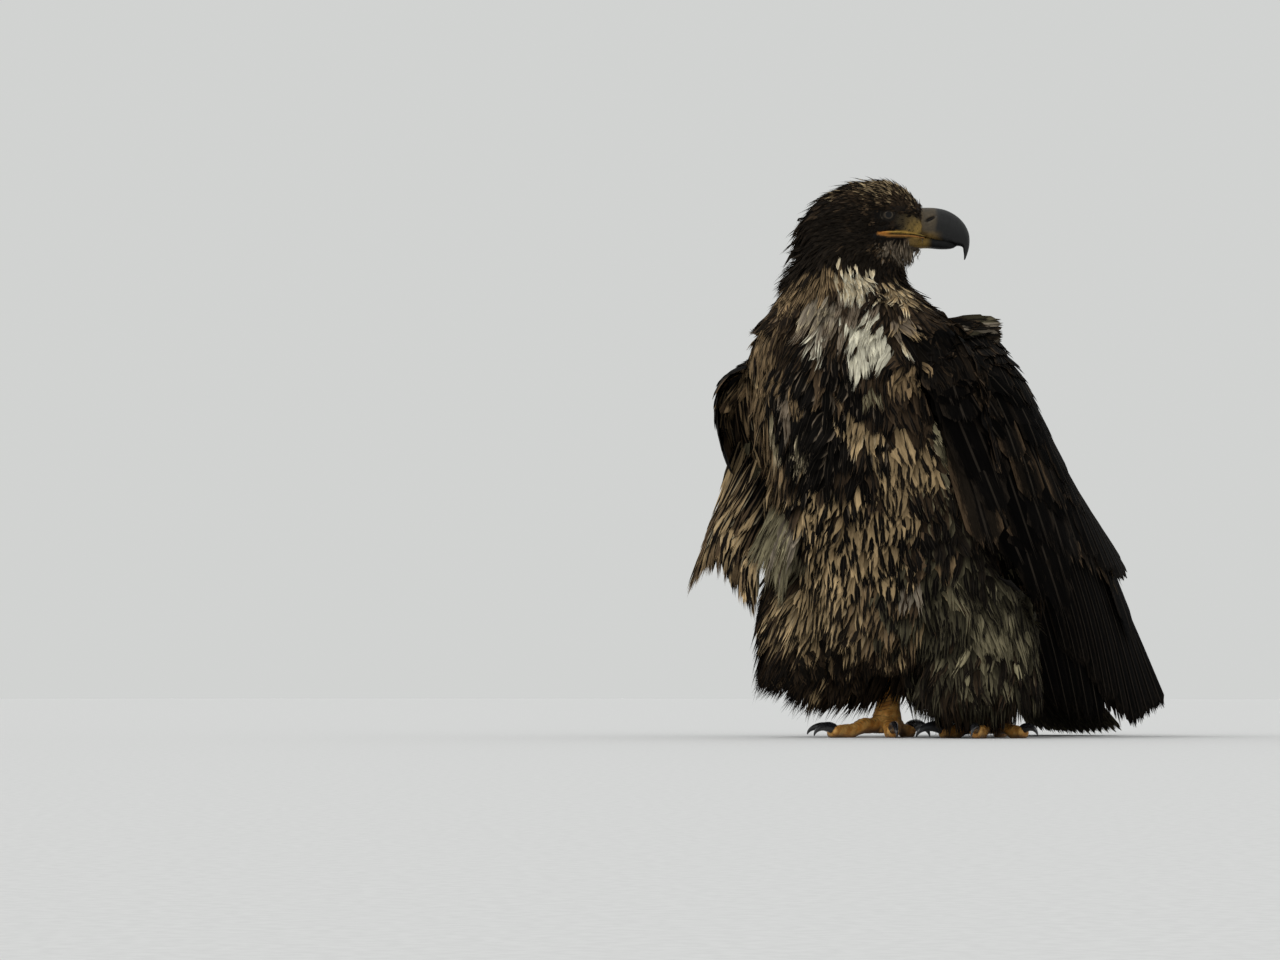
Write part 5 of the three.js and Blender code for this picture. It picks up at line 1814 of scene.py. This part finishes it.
def eyeball(side, material):
    centre, axis = eyePlace(side)
    ahead = unit(headWay(0, 1, 0) - axis * np.dot(axis, headWay(0, 1, 0)))
    top = np.cross(axis, ahead) * sideSign[side]
    rings, look = [], []
    for i in range(40):
        angle = math.pi * (i + 0.5) / 40
        radius = eye["radius"] + 0.45 * math.exp(-(angle / 0.55) ** 4)
        ring = []
        for j in range(64):
            turn = 2 * math.pi * j / 64
            x, y = math.cos(turn) * math.sin(angle), math.sin(turn) * math.sin(angle)
            ring.append(centre + radius * (math.cos(angle) * axis + x * ahead + y * top))
            look.append((angle, x, y))
        rings.append(ring)
    mesh = tubeMesh("eyeball_" + side, rings, flip=side == "left")
    look += [(0, 0, 0), (math.pi, 0, 0)]
    setValues(mesh, "look", np.array(look))
    addPiece("eyeball_" + side, mesh, material, ["eye_" + side])


eyeFinish = eyeMaterial()
for side in sideSign:
    eyeball(side, eyeFinish)
print("eyes made")


# feet
legs = {
    "left": {"x": 56, "y": 26, "turn": 20, "mirror": 1},
    "right": {"x": -45, "y": 0, "turn": 5, "mirror": -1},
}
# toe number, angle from straight ahead, length, thickness, claw length
toes = [(1, 176, 36, 13, 36), (2, -48, 46, 13.5, 32), (3, 4, 68, 13.5, 28), (4, 50, 50, 12.5, 25)]
shankAt = through([[4, 0, 0, 13, 14], [16, 0, 1, 14, 15], [32, 0, 4, 10.5, 11.5], [60, 5, 11, 10, 11.5],
                   [84, 8, 16, 11, 12]])
foot = {
    "voxel": 0.9,
    "scute": 3.6, "scuteStep": 0.95,        # broad scales across the top
    "grain": 2.4, "grainStep": 0.4,         # small scales on the sides
    "skin": (0.62, 0.27, 0.050), "warm": (0.80, 0.43, 0.11), "deep": (0.14, 0.050, 0.012),
    "sole": (0.24, 0.13, 0.055),
}


def toeFrame(leg, angle):
    turn = math.radians(angle + leg["turn"])
    ahead = np.array([math.sin(turn) * leg["mirror"], -math.cos(turn), 0])
    across = np.array([-ahead[1], ahead[0], 0])
    return ahead, across, np.array([leg["x"], leg["y"], 0]) + ahead * 6


def toeHeight(t):
    return mix(14, 5.4, ease(t * 1.3)) + 1.6 * math.cos(t * math.pi * 5) * (1 - t)


def footSkin(side, material):
    leg = legs[side]
    turns = around(28)
    rings = []
    for z in np.linspace(4, 84, 28):
        x, y, a, b = shankAt(z)
        middle = np.array([leg["x"] - x * leg["mirror"], leg["y"] + y, z])
        rings.append([middle + np.array([a * math.cos(t), b * math.sin(t), 0]) for t in turns])
    shells = [ringTube(rings)]
    for _, angle, length, thick, _ in toes:
        ahead, across, start = toeFrame(leg, angle)
        rings = []
        for t in np.linspace(-0.05, 1, 40):
            half = thick * 0.5 * (1 + 0.07 * math.cos(t * math.pi * 6)) * mix(1, 0.86, t)
            half *= math.sqrt(max(0.05, 1 - max(0.0, (t - 0.93) / 0.09) ** 2))
            pad = 1 + 0.16 * max(0.0, math.sin(t * math.pi * 3.2 + 0.4))
            centre = start + ahead * length * t + np.array([0, 0, toeHeight(t)])
            ring = []
            for turn in turns:
                s = math.sin(turn)
                drop = half * 1.08 * s * (pad if s < 0 else 1)
                ring.append(centre + across * half * math.cos(turn) + np.array([0, 0, drop]))
            rings.append(ring)
        shells.append(ringTube(rings))
    points, faces = merged(shells)
    points, loops, sizes, pairs = remeshed(points, faces, foot["voxel"])
    points = relaxed(points, pairs, 5, 0.5)
    tris = loops[trianglesOf(sizes)]
    normals = pointNormals(points, tris)
    best = np.full(len(points), 1e9)
    along = np.zeros(len(points))
    for _, angle, length, _, _ in toes:
        ahead, across, start = toeFrame(leg, angle)
        d = points - start
        a = d @ ahead
        off = np.abs(d @ across) + np.maximum(0, -a) + np.maximum(0, a - length)
        off += np.maximum(0, points[:, 2] - 26)
        closer = off < best
        along[closer] = a[closer] + 0.35 * np.abs(d @ across)[closer]
        best = np.minimum(best, off)
    onShank = points[:, 2] > 24
    along[onShank] = points[onShank, 2] - 0.3 * np.abs(points[onShank, 0] - leg["x"])
    facing = np.where(onShank, -normals[:, 1], normals[:, 2])
    share = (along / foot["scute"]) % 1
    broad = ease((facing - 0.25) / 0.35)
    plate = foot["scuteStep"] * (np.sin(np.pi * share) ** 0.5 - 0.6)
    cells = ripple(points, foot["grain"], 71) * ripple(points, foot["grain"], 72)
    small = foot["grainStep"] * np.abs(cells) ** 0.5
    points = points + normals * (plate * broad + small * (1 - broad))[:, None]
    points[:, 2] = np.maximum(points[:, 2], 0)
    crease = ease(1 - np.sin(np.pi * share) * 2.2) * broad
    blotch = ease(ripple(points, 9, 75) + 0.5)[:, None]
    colour = mix(np.array(foot["skin"]), foot["warm"], blotch)
    colour = mix(colour, foot["deep"], np.clip(crease, 0, 1)[:, None])
    colour = mix(colour, foot["sole"], ease(-normals[:, 2:] * 1.5))
    colour = colour * (1 + 0.16 * ripple(points, 16, 74))[:, None]
    mesh = meshFrom("foot_" + side, points, loops, sizes)
    setTints(mesh, colour)
    replaced = ["shank_" + side] + ["toe_%s_%d" % (side, toe[0]) for toe in toes]
    addPiece("foot_" + side, mesh, material, replaced)


talon = {
    "bend": math.radians(105), "from": -0.45, "to": 1.0,      # the arc, and how far along it the claw runs
    "arc": 0.8, "height": 8.4, "rings": 34, "sides": 24,
    "horn": (0.014, 0.014, 0.016), "root": (0.03, 0.028, 0.026), "rootRings": 3,
}


def claw(side, toe, material):
    number, angle, length, _, clawLength = toe
    ahead, across, start = toeFrame(legs[side], angle)
    radius = clawLength / talon["bend"]
    base = start + ahead * (length - 3) + np.array([0, 0, talon["height"]])
    first = talon["from"] * talon["bend"] * talon["arc"]
    rings = []
    for t in np.linspace(0, 1, talon["rings"]):
        a = mix(talon["from"], talon["to"], t) * talon["bend"] * talon["arc"]
        forward = radius * (math.sin(a) - math.sin(first))
        fall = radius * (math.cos(first) - math.cos(a)) * 0.62
        size = mix(clawLength * 0.2, 0.5, t ** 1.3)
        centre = base + ahead * forward + np.array([0, 0, -fall])
        up = ahead * math.sin(a) + np.array([0, 0, math.cos(a)])
        ring = []
        for turn in around(talon["sides"]):
            c, s = math.cos(turn), math.sin(turn)
            groove = 1 - 0.08 * math.exp(-((s + 0.45) / 0.16) ** 2)
            ring.append(centre + across * size * 0.72 * c * groove + up * size * s * (1 if s > 0 else 0.9))
        rings.append(ring)
    mesh = tubeMesh("talon_%s_%d" % (side, number), rings)
    for v in mesh.vertices:
        v.co.z = max(v.co.z, 0.0)
    tints = np.tile(talon["horn"], (len(mesh.vertices), 1))
    tints[:talon["sides"] * talon["rootRings"]] = talon["root"]
    setTints(mesh, tints)
    addPiece(mesh.name, mesh, material, ["claw_%s_%d" % (side, number)])


footFinish = surfaceMaterial("footSkin", 0.5, 0.4, 420, 0.0005, spread=0.3, cells=True)
clawFinish = surfaceMaterial("clawHorn", 0.28, 0.5, 600, 0.0002, spread=0.35, coat=0.3)
for side in sideSign:
    footSkin(side, footFinish)
    for toe in toes:
        claw(side, toe, clawFinish)
print("feet made")


# studio
studio = {
    "azimuth": math.radians(35), "distance": 3.5, "height": 0.04,
    "aimRight": -0.27, "aimUp": 0.245, "frameWidth": 1.216,
    "backdrop": (0.64, 0.65, 0.64), "backdropLight": 1.0,
    "key": 0.75, "keySpread": math.radians(32),
    "spark": 0.10, "sparkSpread": math.radians(5),      # a small lamp that gives the eyes their catchlight
    "floor": (0.79, 0.79, 0.79),
}


def softSun(name, way, strength, spread):
    # a broad, even light that comes from the side that way points to
    light = bpy.data.lights.new(name, "SUN")
    light.energy = strength
    light.angle = spread
    lamp = bpy.data.objects.new(name, light)
    bpy.context.scene.collection.objects.link(lamp)
    lamp.location = tuple(way)
    lamp.rotation_euler = Vector(tuple(way)).to_track_quat("Z", "Y").to_euler()


def makeStudio():
    scene = bpy.context.scene
    toCamera = np.array([math.sin(studio["azimuth"]), -math.cos(studio["azimuth"]), 0])
    right = np.array([math.cos(studio["azimuth"]), math.sin(studio["azimuth"]), 0])
    lens = bpy.data.cameras.new("camera")
    lens.sensor_width = 36
    lens.lens = 36 * studio["distance"] / studio["frameWidth"]
    lens.clip_start = 0.05
    camera = bpy.data.objects.new("camera", lens)
    scene.collection.objects.link(camera)
    place = origin + toCamera * studio["distance"] + np.array([0, 0, studio["height"]])
    aim = origin + right * studio["aimRight"] + np.array([0, 0, studio["aimUp"]])
    camera.location = place
    camera.rotation_euler = Vector(aim - place).to_track_quat("-Z", "Y").to_euler()
    scene.camera = camera
    floorMesh = bpy.data.meshes.new("floor")
    reach = 30.0
    corners = [(-reach, -reach, 0), (reach, -reach, 0), (reach, reach, 0), (-reach, reach, 0)]
    floorMesh.from_pydata(corners, [], [(0, 1, 2, 3)])
    floor = bpy.data.objects.new("floor", floorMesh)
    scene.collection.objects.link(floor)
    material, tree = newTree("floorPaper")
    place = node(tree, "TexCoord").outputs["Object"]
    tone = band(tree, noise(tree, place, 260.0, 3.0), 0.3, 0.7, 0.97, 1.03)
    colour = shaded(tree, (*studio["floor"], 1), tone)
    finishTree(tree, colour, 0.9, 0.1, {})
    floorMesh.materials.append(material)
    world = bpy.data.worlds.new("studio")
    world.use_nodes = True
    back = world.node_tree.nodes["Background"]
    back.inputs[0].default_value = (*studio["backdrop"], 1)
    back.inputs[1].default_value = studio["backdropLight"]
    scene.world = world
    scene.view_settings.view_transform = "Standard"
    for name, forward, left, up in (("key", 0.75, 0.8, 1.3), ("spark", 1.0, 0.2, 0.55)):
        way = toCamera * forward - right * left + np.array([0, 0, up])
        softSun(name, way, studio[name], studio[name + "Spread"])


makeStudio()
print("studio made")
